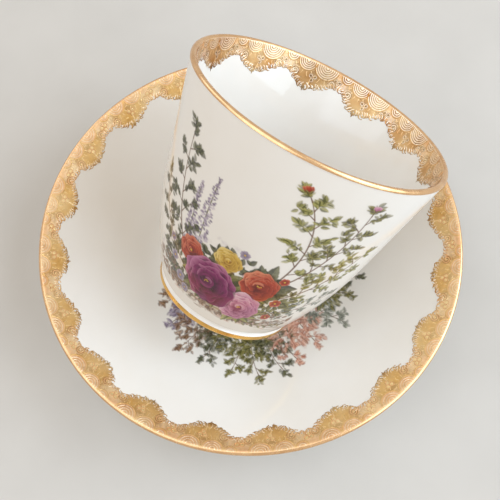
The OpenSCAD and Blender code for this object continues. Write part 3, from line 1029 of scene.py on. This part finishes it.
def bough(canvas, path, size, tones, twigs, cover=0.92):
    """Woody stem with twigs on both sides, each with a tuft of small leaves, the lighter ones on top."""
    rng = canvas.rng
    stem(canvas, path, STEM_W, cover)
    for i in range(twigs):
        share = 0.25 + 0.75 * i / (twigs - 1)
        k = min(int(share * (len(path) - 1)), len(path) - 2)
        hand = 1 if i % 2 else -1
        way = heading(path[k], path[k + 1]) + (hand * rng.uniform(0.5, 1.0) if i < twigs - 1 else 0)
        long = size * rng.uniform(0.75, 1.1) * (1.15 - 0.45 * share)
        twig = curl(path[k], way, long, hand * rng.uniform(0.2, 0.8), steps=10)
        stem(canvas, twig, TWIG_W, cover)
        for j in range(TUFT_LEAVES):
            x, y = twig[rng.randrange(3, len(twig))]
            x, y = x + rng.uniform(-0.5, 0.5), y + rng.uniform(-0.5, 0.5)
            shade = tuple(tone * rng.uniform(0.8, 1.05) * (0.75 + 0.4 * j / TUFT_LEAVES) for tone in tones)
            leaf_long = size * rng.uniform(0.2, 0.34)
            turn = way + rng.uniform(-1.6, 1.6)
            leaf_w = leaf_long * rng.uniform(0.45, 0.65)
            leaf(canvas, x, y, turn, leaf_long, leaf_w, shade, cover * rng.uniform(0.7, 1))


def thicket(canvas, x, y, rx, ry, tones, count, size, cover=0.9):
    """Mass of leaves, dark behind and lighter in front."""
    rng = canvas.rng
    for i in range(count):
        place, out = strewn(rng, x, y, rx, ry)
        shade = tuple(tone * (0.55 + 0.6 * i / count) for tone in tones)
        long = size * rng.uniform(0.7, 1.2)
        way = out + rng.uniform(-0.9, 0.9)
        leaf(canvas, *place, way, long, long * rng.uniform(0.45, 0.65), shade, cover)


def plume(canvas, path, width, tones):
    """Spike of tiny flowers, thick at its foot."""
    rng = canvas.rng
    stroke(canvas, path, 0.35, STEM_GREEN, PLUME_COVER)
    count = len(path)
    for i in range(int(count * 0.15), count):
        share = 1 - i / count
        r = 0.42 + 0.35 * share
        for _ in range(4):
            side = rng.uniform(-1, 1) * width / 2 * (share**0.8 + 0.08)
            x, y = path[i][0] + side, path[i][1] + rng.uniform(-0.6, 0.4) - abs(side) * 0.5
            way = rng.uniform(-0.8, 0.8)
            dab(canvas, x, y, r, r * 0.65, way, toned(tones, rng.random()), PLUME_COVER)


def haze(canvas, x, y, rx, ry, tones, count, cover=0.22):
    """Pale dabs that let the flowers fade into the white."""
    rng = canvas.rng
    for _ in range(count):
        place, _ = strewn(rng, x, y, rx, ry)
        r = rng.uniform(0.6, 1.5)
        way = rng.uniform(0, 3)
        dab(canvas, *place, r, r * 0.6, way, toned(tones, rng.uniform(0.3, 1)), cover, 0.9)


def fan(canvas, x, y, ways, length, tones):
    """Single leaves that stand round a flower."""
    for way in ways:
        long = length * canvas.rng.uniform(0.8, 1.15)
        leaf(canvas, x, y, way, long, long * canvas.rng.uniform(0.36, 0.5), tones)


def turf(canvas, left, right, low, high, tones, count):
    """Short level strokes of the brush that ground the flowers."""
    rng = canvas.rng
    for _ in range(count):
        start = rng.triangular(left, right), rng.triangular(low, high)
        path = curl(start, rng.uniform(-0.25, 0.25), rng.uniform(1.5, 4.5), rng.uniform(-0.4, 0.4), steps=7)
        shade = toned(tones, rng.uniform(0.2, 0.9))
        widths = rng.uniform(0.3, 0.75) * np.sin(np.linspace(0.3, 2.9, 7))
        stroke(canvas, path, widths, shade, TURF_COVER * rng.uniform(0.5, 1))


# Loose bouquet on the cup's front, from back to front: what is painted, and the values of its function
BOUQUET = (
    (haze, -19, 16, 9, 6, LILAC, 60),
    (haze, 19, 18, 9, 6, LEAF_GREY, 50),
    (haze, 0, 9.5, 21, 1.8, LEAF_BROWN, 110, 0.3),
    (haze, -4, 31, 9, 4, LILAC, 26),
    (turf, -30, 28, 6.5, 14, LEAF_BROWN, 150),
    (turf, -24, 30, 7.0, 13, LEAF_CORAL, 70),
    (turf, -28, 26, 7.5, 15, LEAF_OLIVE, 90),
    (plume, sweep((-10.5, 26), (-11, 34), (-11.2, 40), (-10.6, 49)), 5.4, LILAC),
    (plume, sweep((-13, 24), (-14.6, 32), (-15, 37), (-14.6, 45)), 4.6, LILAC),
    (bough, sweep((-12, 20), (-19, 30), (-22, 40), (-21.5, 53)), 6.4, LEAF_DARK, 10),
    (bough, sweep((-13, 18), (-20, 23), (-25, 28), (-28, 36)), 5.6, LEAF_DARK, 9),
    (bough, sweep((10, 26), (15, 36), (14, 48), (7.5, 57)), 6.6, LEAF_SPRING, 10),
    (bough, sweep((11, 26), (19, 36), (22, 46), (21, 58)), 6.2, LEAF_OLIVE, 10),
    (bough, sweep((13, 22), (20, 27), (25, 33), (29, 43)), 6.0, LEAF_SPRING, 9),
    (bough, sweep((12, 16), (19, 17), (24, 19), (30, 26)), 5.0, LEAF_GREY, 9),
    (thicket, -15, 18, 8, 6, LEAF_DARK, 130, 2.4),
    (thicket, -20, 13, 7, 3, LEAF_BROWN, 60, 2.0, 0.7),
    (thicket, 14, 21, 7, 6, LEAF_OLIVE, 120, 2.4),
    (thicket, 2, 27, 11, 5, LEAF_DARK, 130, 2.4),
    (thicket, -1, 11.5, 17, 2.6, LEAF_BROWN, 120, 2.0, 0.7),
    (thicket, 19, 13, 8, 2.5, LEAF_BROWN, 60, 1.9, 0.6),
    (spray, sweep((-8, 12), (-14, 9.5), (-19, 8.5), (-25, 11)), 2.6, LEAF_BROWN),
    (spray, sweep((8, 11), (14, 9), (20, 8.5), (25, 10.5)), 2.6, LEAF_OLIVE),
    (fan, -3, 20, np.linspace(0.3, 6.2, 13), 11.0, LEAF_OLIVE),
    (fan, 9, 26, np.linspace(-0.9, 2.4, 8), 8.4, LEAF_DARK),
    (fan, 8, 14, np.linspace(-2.2, 0.6, 7), 7.2, LEAF_SPRING),
    (bud, 6.6, 58, 2.0, 1.1, CORAL),
    (bud, 21, 58.5, 1.5, 1.0, ROSE),
    (bloom, -1.5, 29.5, 3.8, YELLOW),
    (bloom, -12, 25, 4.4, CORAL),
    (bloom, 8.5, 26, 5.6, CORAL),
    (bloom, 7.0, 15.5, 6.2, ROSE),
    (bloom, -4.5, 19, 8.8, MAGENTA),
    (floret, -14, 13.5, 1.9, LILAC),
    (floret, -17.5, 18.5, 1.6, LILAC),
    (floret, -11.5, 10.5, 1.5, LILAC),
    (floret, 1.5, 34, 1.4, LILAC),
    (floret, -19.5, 23.5, 1.3, LILAC),
    (floret, 15.5, 21.5, 1.7, CORAL),
    (floret, 16.5, 14.5, 1.5, CORAL),
    (floret, 13.5, 30.5, 1.4, CORAL),
)
# Flowers in the middle of the saucer
POSY = (
    (fan, 0, 0, np.linspace(0, 5.9, 13), 16, LEAF_OLIVE),
    (bloom, -7, 5, 6.2, ROSE),
    (bloom, 7.5, 4, 5.8, CORAL),
    (bloom, 0.5, -5.5, 7.2, MAGENTA),
    (bloom, 1, 8.5, 4.4, YELLOW),
    (floret, -13, -8, 2.0, LILAC),
    (floret, 12, -8.5, 1.9, LILAC),
    (floret, -14, 12, 1.8, LILAC),
    (floret, 15, 13, 1.8, LILAC),
    (floret, 0, 17, 1.8, LILAC),
)
# Boughs of the saucer's wreath: angle in degrees, tones
WREATH = (
    (12, LEAF_OLIVE), (30, LEAF_GREY), (48, LILAC), (66, LEAF_OLIVE), (84, LEAF_DARK), (102, LEAF_CORAL),
    (120, LEAF_GREY), (138, LEAF_OLIVE), (156, LEAF_BROWN), (174, LEAF_OLIVE), (190, LEAF_GREY),
    (205, LEAF_BROWN), (218, LILAC), (231, LEAF_BROWN), (244, LEAF_DARK), (257, LEAF_OLIVE),
    (270, LEAF_OLIVE), (282, LEAF_DARK), (294, LEAF_CORAL), (306, LEAF_CORAL), (319, LEAF_GREY),
    (332, LEAF_OLIVE), (346, LEAF_DARK),
)
# Way where the wreath reaches least, and distances from the middle: of its haze, of the two points that
# start a bough, of a bough's end and of the thickets
WREATH_SHORT = math.radians(165)
WREATH_HAZE = 27
WREATH_START = (12, 18)
WREATH_END = (32, 38)
WREATH_THICKETS = (25, 29)


def paint(canvas, pieces):
    for drawn, *values in pieces:
        drawn(canvas, *values)


def wreath_reach(way):
    """How far the wreath reaches: less on its left, more towards the front."""
    return 1 - 0.3 * max(0, math.cos(way - WREATH_SHORT)) ** 2 + 0.07 * max(0, math.cos(way - DOWN)) ** 2


def paint_wreath(canvas):
    """Leafy wreath round the middle of the saucer."""
    rng = canvas.rng
    for angle, tones in WREATH:
        way = math.radians(angle) + rng.uniform(-0.06, 0.06)
        reach = wreath_reach(way)
        haze(canvas, *(WREATH_HAZE * reach * unit(way)), 8, 7, tones, 60, 0.3)
        far = rng.uniform(*WREATH_END) * reach
        pull = far * 0.75 * unit(way + rng.uniform(-0.22, 0.22))
        start, leave = (r * unit(way) for r in WREATH_START)
        bough(canvas, sweep(start, leave, pull, far * unit(way)), 5.4, tones, 11, 0.8)
    for angle, tones in WREATH:
        way = math.radians(angle)
        place = rng.uniform(*WREATH_THICKETS) * wreath_reach(way) * unit(way)
        thicket(canvas, *place, 6.0, 5.5, tones, 110, 1.9, 0.66)


# Materials

# Range of the noise that is mapped to other values
NOISE_RANGE = (0.3, 0.7)
GOLD_METAL = 0.85
GOLD_WORN = srgb(176, 122, 62)
GOLD_BRIGHT = srgb(250, 226, 176)
ENAMEL_GRAIN = srgb(205, 196, 188)


def new_material(name, **values):
    material = bpy.data.materials.new(name)
    material.use_nodes = True
    tree = material.node_tree
    shader = tree.nodes["Principled BSDF"]
    for key, value in values.items():
        shader.inputs[key].default_value = value
    return material, tree, shader


def node(tree, kind, **values):
    made = tree.nodes.new(kind)
    for key, value in values.items():
        if key in made.inputs:
            made.inputs[key].default_value = value
        else:
            setattr(made, key, value)
    return made


def noise(tree, scale, detail):
    """Noise in the row frame, whose scale is in turns per metre."""
    place = node(tree, "ShaderNodeTexCoord")
    made = node(tree, "ShaderNodeTexNoise", Scale=scale, Detail=detail, Roughness=0.5)
    tree.links.new(place.outputs["Object"], made.inputs["Vector"])
    return made.outputs["Fac"]


def varied(tree, scale, low, high, detail=3.0):
    """Noise between two values."""
    made = node(tree, "ShaderNodeMapRange")
    for name, limit in zip(("From Min", "From Max", "To Min", "To Max"), (*NOISE_RANGE, low, high)):
        made.inputs[name].default_value = limit
    tree.links.new(noise(tree, scale, detail), made.inputs["Value"])
    return made.outputs["Result"]


def blended(tree, share, a, b, mode="MIX"):
    """Colour between two colours or links, by a linked share."""
    made = node(tree, "ShaderNodeMix", data_type="RGBA", blend_type=mode)
    tree.links.new(share, made.inputs[0])
    for socket, value in ((6, a), (7, b)):
        if isinstance(value, bpy.types.NodeSocket):
            tree.links.new(value, made.inputs[socket])
        else:
            made.inputs[socket].default_value = (*value, 1.0)
    return made.outputs[2]


def mesh_tint(tree):
    return node(tree, "ShaderNodeVertexColor", layer_name="tint").outputs["Color"]


def surfaced(tree, shader, colour, rough, bump):
    """Gives a colour, a roughness (scale, low, high) and a bump (scale, detail, strength, distance)."""
    tree.links.new(colour, shader.inputs["Base Color"])
    tree.links.new(varied(tree, *rough), shader.inputs["Roughness"])
    scale, detail, strength, distance = bump
    made = node(tree, "ShaderNodeBump", Strength=strength, Distance=distance)
    tree.links.new(noise(tree, scale, detail), made.inputs["Height"])
    tree.links.new(made.outputs["Normal"], shader.inputs["Normal"])


def porcelain(name):
    """Clear glaze over white porcelain: faint clouds in the body, a slightly wavy mirror finish."""
    material, tree, shader = new_material(name, IOR=1.5)
    colour = blended(tree, varied(tree, 45.0, 0.0, 1.0, 4.0), PORCELAIN_WHITE, PORCELAIN_SHADE)
    surfaced(tree, shader, colour, (260.0, 0.05, 0.11), (55.0, 1.0, 0.12, 0.0004))
    return material


def gilding(name, roughness, grain, bump):
    """Gold with a tint painted on the mesh, worn a little, with a fine grain."""
    material, tree, shader = new_material(name, Metallic=GOLD_METAL)
    darkened = blended(tree, varied(tree, 900.0, 0.0, 0.4, 4.0), mesh_tint(tree), GOLD_WORN)
    colour = blended(tree, varied(tree, 160.0, 0.0, 0.45), darkened, GOLD_BRIGHT)
    rough = (700.0, roughness - 0.07, roughness + 0.07)
    surfaced(tree, shader, colour, rough, (grain, 2.0, bump, 0.00002))
    return material


def gold_line(name, fresh, darkened):
    """Burnished gold of the lines and the foot band, with darker patches: some wear and painted dark
    reflection of the gold.
    """
    material, tree, shader = new_material(name, Metallic=GOLD_METAL)
    colour = blended(tree, varied(tree, 240.0, 0.0, 0.5, 5.0), fresh, darkened)
    surfaced(tree, shader, colour, (500.0, 0.16, 0.3), (1500.0, 2.0, 0.15, 0.00002))
    return material


def enamel(name):
    """Fired paint with its colours on the mesh, grained by the brush, under a glossy melt."""
    material, tree, shader = new_material(name)
    colour = blended(tree, varied(tree, 3200.0, 0.0, 0.16), mesh_tint(tree), ENAMEL_GRAIN, "MULTIPLY")
    surfaced(tree, shader, colour, (700.0, 0.08, 0.2), (2400.0, 2.0, 0.1, 0.00001))
    return material


PORCELAIN = porcelain("porcelain_glaze")
LACE_MATT = gilding("lace_matt_gold", 0.42, 9000.0, 0.35)
LACE_SHINY = gilding("lace_raised_gold", 0.3, 6000.0, 0.2)
# The darker tones of the lines and the foot band are painted dark reflections of the burnished gold, with
# some wear; the foot band's darkest tone is mostly painted reflection.
GOLD_LINE = gold_line("burnished_gold", srgb(236, 194, 146), srgb(198, 146, 94))
FOOT_GOLD = gold_line("burnished_foot_gold", srgb(244, 198, 112), srgb(150, 98, 40))
ENAMEL = enamel("fired_enamel")


# Pieces

HANDLE_RINGS = 96
HANDLE_SIDES = 36
HANDLE_FINE = 400
HANDLE_LINE_SPAN = (0.13, 0.9)
HANDLE_LINE_ANGLES = math.pi + np.array([-0.24, -0.14, 0.0, 0.14, 0.24])
HANDLE_LINE_DOME = np.array([-0.6, 0.8, 1.0, 0.8, -0.6])
# Middle of the cup's painting, and the radius at which it lies in true size
CUP_FRONT = math.radians(193)
CUP_FRONT_R = 30.0
# Canvases: left, right, low, high, step, seed
CUP_CANVAS = (-32, 33, 5, 62, 0.14, 11)
SAUCER_CANVAS = (-42, 42, -44, 42, 0.196, 12)


def finish_piece(obj, body, slot, *nodes):
    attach(obj, body)
    if nodes:
        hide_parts(*nodes)


def turn_piece(name, outline, body, material, slot, replaced, closed=True):
    """Turned piece of the saucer or of the cup, in place of a node."""
    place = to_cup if body == "cup" else to_saucer
    finish_piece(lathe(name, outline, place, material, closed), body, slot, replaced)


def make_saucer():
    turn_piece("saucer", saucer_outline(), "saucer", PORCELAIN, "porcelain", "saucer_body", closed=False)
    line = lip_line_outline(saucer_lip_c, SAUCER_LIP_R, *SAUCER_LINE)
    turn_piece("saucer_gold_line", line, "saucer", GOLD_LINE, "gilding", "saucer_rim_gilding")


def make_cup():
    turn_piece("cup", cup_outline(), "cup", PORCELAIN, "porcelain", "cup_body", closed=False)
    turn_piece("cup_foot", foot_outline(), "cup", PORCELAIN, "porcelain", "cup_foot_ring")
    turn_piece("cup_foot_band", foot_band_outline(), "cup", FOOT_GOLD, "gilding", "cup_foot_gilding")
    line = lip_line_outline(cup_lip_c, CUP_LIP_R, *CUP_LINE)
    turn_piece("cup_gold_line", line, "cup", GOLD_LINE, "gilding", "cup_rim_gilding")


def make_lace(name, face, body, style, seed):
    def put(x, y, lift):
        return face.put(x / style.radius, y, lift)

    ground, relief = Art(put, style), Art(put, style)
    lace_border(ground, relief, random.Random(seed))
    finish_piece(ground.make(name + "_ground", LACE_MATT), body, "gilding", name + "_gilding")
    finish_piece(relief.make(name + "_relief", LACE_SHINY), body, "gilding")


def cup_radius(z):
    if z < CUP_CURVE_H:
        return curve_c[0] + math.sqrt(curve_r**2 - (z - curve_c[1]) ** 2)
    return cup_lip_out[0] - math.tan(CUP_FLARE) * (cup_lip_out[1] - z)


def handle_curve():
    """The four points that draw the ear, as in the part's source."""
    mid_x = cup_radius((HANDLE_TOP_H + HANDLE_LOW_H) / 2) + HANDLE_REACH - HANDLE_T / 2
    top = np.array([cup_radius(HANDLE_TOP_H) - CUP_WALL, HANDLE_TOP_H])
    low = np.array([cup_radius(HANDLE_LOW_H) - CUP_WALL, HANDLE_LOW_H])
    pull_x = (8 * mid_x - top[0] - low[0]) / 6
    return np.array([top, [pull_x, HANDLE_TOP_H + HANDLE_RISE], [pull_x, HANDLE_LOW_H - HANDLE_DROP], low])


def handle_points(s, angle, lift=0.0):
    """Points on the ear's skin: along it, round its oval section, and off the skin."""
    curve = cubic(handle_curve(), s)
    out = path_frame(curve)
    grow = 1 + HANDLE_FLARE_SHARE * (2 * s - 1) ** 6
    thick = (grow * HANDLE_T / 2 + lift) * np.cos(angle)
    y = (grow * HANDLE_W / 2 + lift) * np.sin(angle)
    return np.stack([curve[:, :1] + out[:, :1] * thick, y, curve[:, 1:] + out[:, 1:] * thick], -1)


def make_handle():
    fine = np.linspace(0, 1, HANDLE_FINE)[:, None]
    sunk = np.array([cup_radius(z) - r for r, z in cubic(handle_curve(), fine)])
    kept = fine[sunk < HANDLE_SINK, 0]
    s = np.linspace(kept[0], kept[-1], HANDLE_RINGS)[:, None]
    points = handle_points(s, round_angles(HANDLE_SIDES)).reshape(-1, 3)
    least = np.array([cup_radius(v) for v in points[:, 2]]) - HANDLE_SINK
    points[:, :2] *= np.maximum(least / np.hypot(points[:, 0], points[:, 1]), 1)[:, None]
    index = np.arange(len(points)).reshape(HANDLE_RINGS, HANDLE_SIDES)
    faces = ring_faces(index) + [index[0][::-1].tolist(), index[-1].tolist()]
    ear = new_object("cup_handle_ear", to_cup(points), faces, PORCELAIN)
    finish_piece(ear, "cup", "porcelain", "cup_handle")

    s = np.linspace(*HANDLE_LINE_SPAN, HANDLE_RINGS)[:, None]
    points = handle_points(s, HANDLE_LINE_ANGLES, LACE_LIFT + LACE_RISE * HANDLE_LINE_DOME)
    index = np.arange(points[..., 0].size).reshape(points.shape[:2])
    faces = grid_faces(index).reshape(-1, 4).tolist()
    line = new_object("cup_handle_line", to_cup(points.reshape(-1, 3)), faces, GOLD_LINE)
    finish_piece(line, "cup", "gilding")


def on_cup_front(x, y, lift):
    """Puts a flat picture on the cup's wall, its up the height on the cup."""
    return CUP_OUT.put(CUP_FRONT + x / CUP_FRONT_R, np.interp(y, CUP_OUT.z, CUP_OUT.along), lift)


def on_well(x, y, lift):
    """Puts a flat picture in the saucer, its up away from the photograph's camera."""
    along = np.interp(np.hypot(x, y), DISH.r[::-1], DISH.along[::-1])
    return DISH.put(np.arctan2(y, x) - PART_TURN, along, lift)


def make_paintings():
    cup = Canvas(*CUP_CANVAS)
    paint(cup, BOUQUET)
    finish_piece(cup.make("cup_flowers", on_cup_front, ENAMEL), "cup", "porcelain")
    saucer = Canvas(*SAUCER_CANVAS)
    paint_wreath(saucer)
    paint(saucer, POSY)
    finish_piece(saucer.make("saucer_flowers", on_well, ENAMEL), "saucer", "porcelain")


make_saucer()
make_cup()
make_paintings()
make_handle()
make_lace("saucer_lace", DISH, "saucer", SAUCER_LACE, 5)
make_lace("cup_lace", CUP_IN, "cup", CUP_LACE, 6)


# Stage: floor, lights and camera

# The photograph's camera: focal length in pixels of a 500-pixel picture, distance from the middle of the
# saucer's lip, height angle, roll and the shift of the aim
PICTURE_SIZE = 500
FOCAL_PIXELS = 664.28
CAMERA_DISTANCE = 205.217
CAMERA_RISE = math.radians(69.948)
CAMERA_ROLL = math.radians(-1.645)
AIM_SHIFT = (0.204, 4.427)
SENSOR = 36.0
CLIP_START = 0.01

# Lamps, in metres and watts: name, place to the right, away and up, size, power, colour
COOL_LAMP = (0.72, 0.86, 1.0)
PLAIN_LAMP = (0.76, 0.87, 0.98)
LAMPS = (
    ("right", 0.6, 0.1, 0.5, 0.65, 1.8, COOL_LAMP),
    ("near_right", 0.75, -0.27, 0.5, 1.1, 8.1, COOL_LAMP),
    ("far_left", -0.45, 0.5, 0.45, 0.5, 1.0, PLAIN_LAMP),
    ("top_left", -0.35, -0.1, 0.75, 1.0, 4.3, PLAIN_LAMP),
)
LAMP_AIM = Vector((0, 0, 0.03))
WARM_LIGHT = (1.0, 0.71, 0.41, 1.0)
WARM_STRENGTH = 0.45
PALE_WALL = (0.72, 0.71, 0.69, 1.0)

# Floor, in metres: half its side, and its drop below the part
FLOOR_HALF = 0.7
FLOOR_DROP = 0.00005
FLOOR_PALE = srgb(206, 204, 200)
FLOOR_SHADE = srgb(200, 198, 194)

photo_right = Vector((math.cos(PART_TURN), -math.sin(PART_TURN), 0))
photo_away = Vector((math.sin(PART_TURN), math.cos(PART_TURN), 0))
photo_up = Vector((0, 0, 1))


def make_camera():
    back = -photo_away * math.cos(CAMERA_RISE) + photo_up * math.sin(CAMERA_RISE)
    up = photo_away * math.sin(CAMERA_RISE) + photo_up * math.cos(CAMERA_RISE)
    aim = Vector((0, 0, saucer_lip_c[1]))
    place = aim + back * CAMERA_DISTANCE - photo_right * AIM_SHIFT[0] - up * AIM_SHIFT[1]
    right_rolled = photo_right * math.cos(CAMERA_ROLL) + up * math.sin(CAMERA_ROLL)
    up_rolled = up * math.cos(CAMERA_ROLL) - photo_right * math.sin(CAMERA_ROLL)
    data = bpy.data.cameras.new("camera")
    data.sensor_width = SENSOR
    data.lens = FOCAL_PIXELS / PICTURE_SIZE * SENSOR
    data.clip_start = CLIP_START
    camera = bpy.data.objects.new("camera", data)
    turn = Matrix((right_rolled, up_rolled, back)).transposed().to_4x4()
    camera.matrix_world = Matrix.Translation(place * MM) @ turn
    bpy.context.scene.collection.objects.link(camera)
    bpy.context.scene.camera = camera


def make_lamp(name, right, away, up, size, power, colour):
    """Soft lamp at a place in the picture's directions that faces the part."""
    data = bpy.data.lights.new(name, "AREA")
    data.shape = "DISK"
    data.size = size
    data.energy = power
    data.color = colour
    lamp = bpy.data.objects.new(name, data)
    place = photo_right * right + photo_away * away + photo_up * up
    lamp.location = place
    lamp.rotation_euler = (LAMP_AIM - place).to_track_quat("-Z", "Y").to_euler()
    bpy.context.scene.collection.objects.link(lamp)


def make_floor():
    """Matt pale paper with a faint grain."""
    material, tree, shader = new_material("floor_paper", Roughness=0.9)
    colour = blended(tree, varied(tree, 30.0, 0.0, 1.0, 6.0), FLOOR_PALE, FLOOR_SHADE)
    tree.links.new(colour, shader.inputs["Base Color"])
    shader.inputs["Specular IOR Level"].default_value = 0.0
    corners = ((-1, -1), (1, -1), (1, 1), (-1, 1))
    points = [(x * FLOOR_HALF, y * FLOOR_HALF, -FLOOR_DROP) for x, y in corners]
    new_object("floor", points, [[0, 1, 2, 3]], material)


def make_world():
    """Even warm light from all sides; the camera and mirrors see a pale wall."""
    world = bpy.data.worlds.new("studio")
    bpy.context.scene.world = world
    world.use_nodes = True
    tree = world.node_tree
    light = tree.nodes["Background"]
    light.inputs["Color"].default_value = WARM_LIGHT
    light.inputs["Strength"].default_value = WARM_STRENGTH
    wall = node(tree, "ShaderNodeBackground", Color=PALE_WALL, Strength=1.0)
    seen = node(tree, "ShaderNodeLightPath")
    either = node(tree, "ShaderNodeMixShader")
    share = seen.outputs["Is Camera Ray"]
    for ray in ("Is Glossy Ray", "Is Transmission Ray"):
        larger = node(tree, "ShaderNodeMath", operation="MAXIMUM")
        tree.links.new(share, larger.inputs[0])
        tree.links.new(seen.outputs[ray], larger.inputs[1])
        share = larger.outputs["Value"]
    tree.links.new(share, either.inputs["Fac"])
    tree.links.new(light.outputs["Background"], either.inputs[1])
    tree.links.new(wall.outputs["Background"], either.inputs[2])
    tree.links.new(either.outputs["Shader"], tree.nodes["World Output"].inputs["Surface"])


make_camera()
make_floor()
make_world()
for lamp_values in LAMPS:
    make_lamp(*lamp_values)
bpy.context.scene.view_settings.view_transform = "Standard"
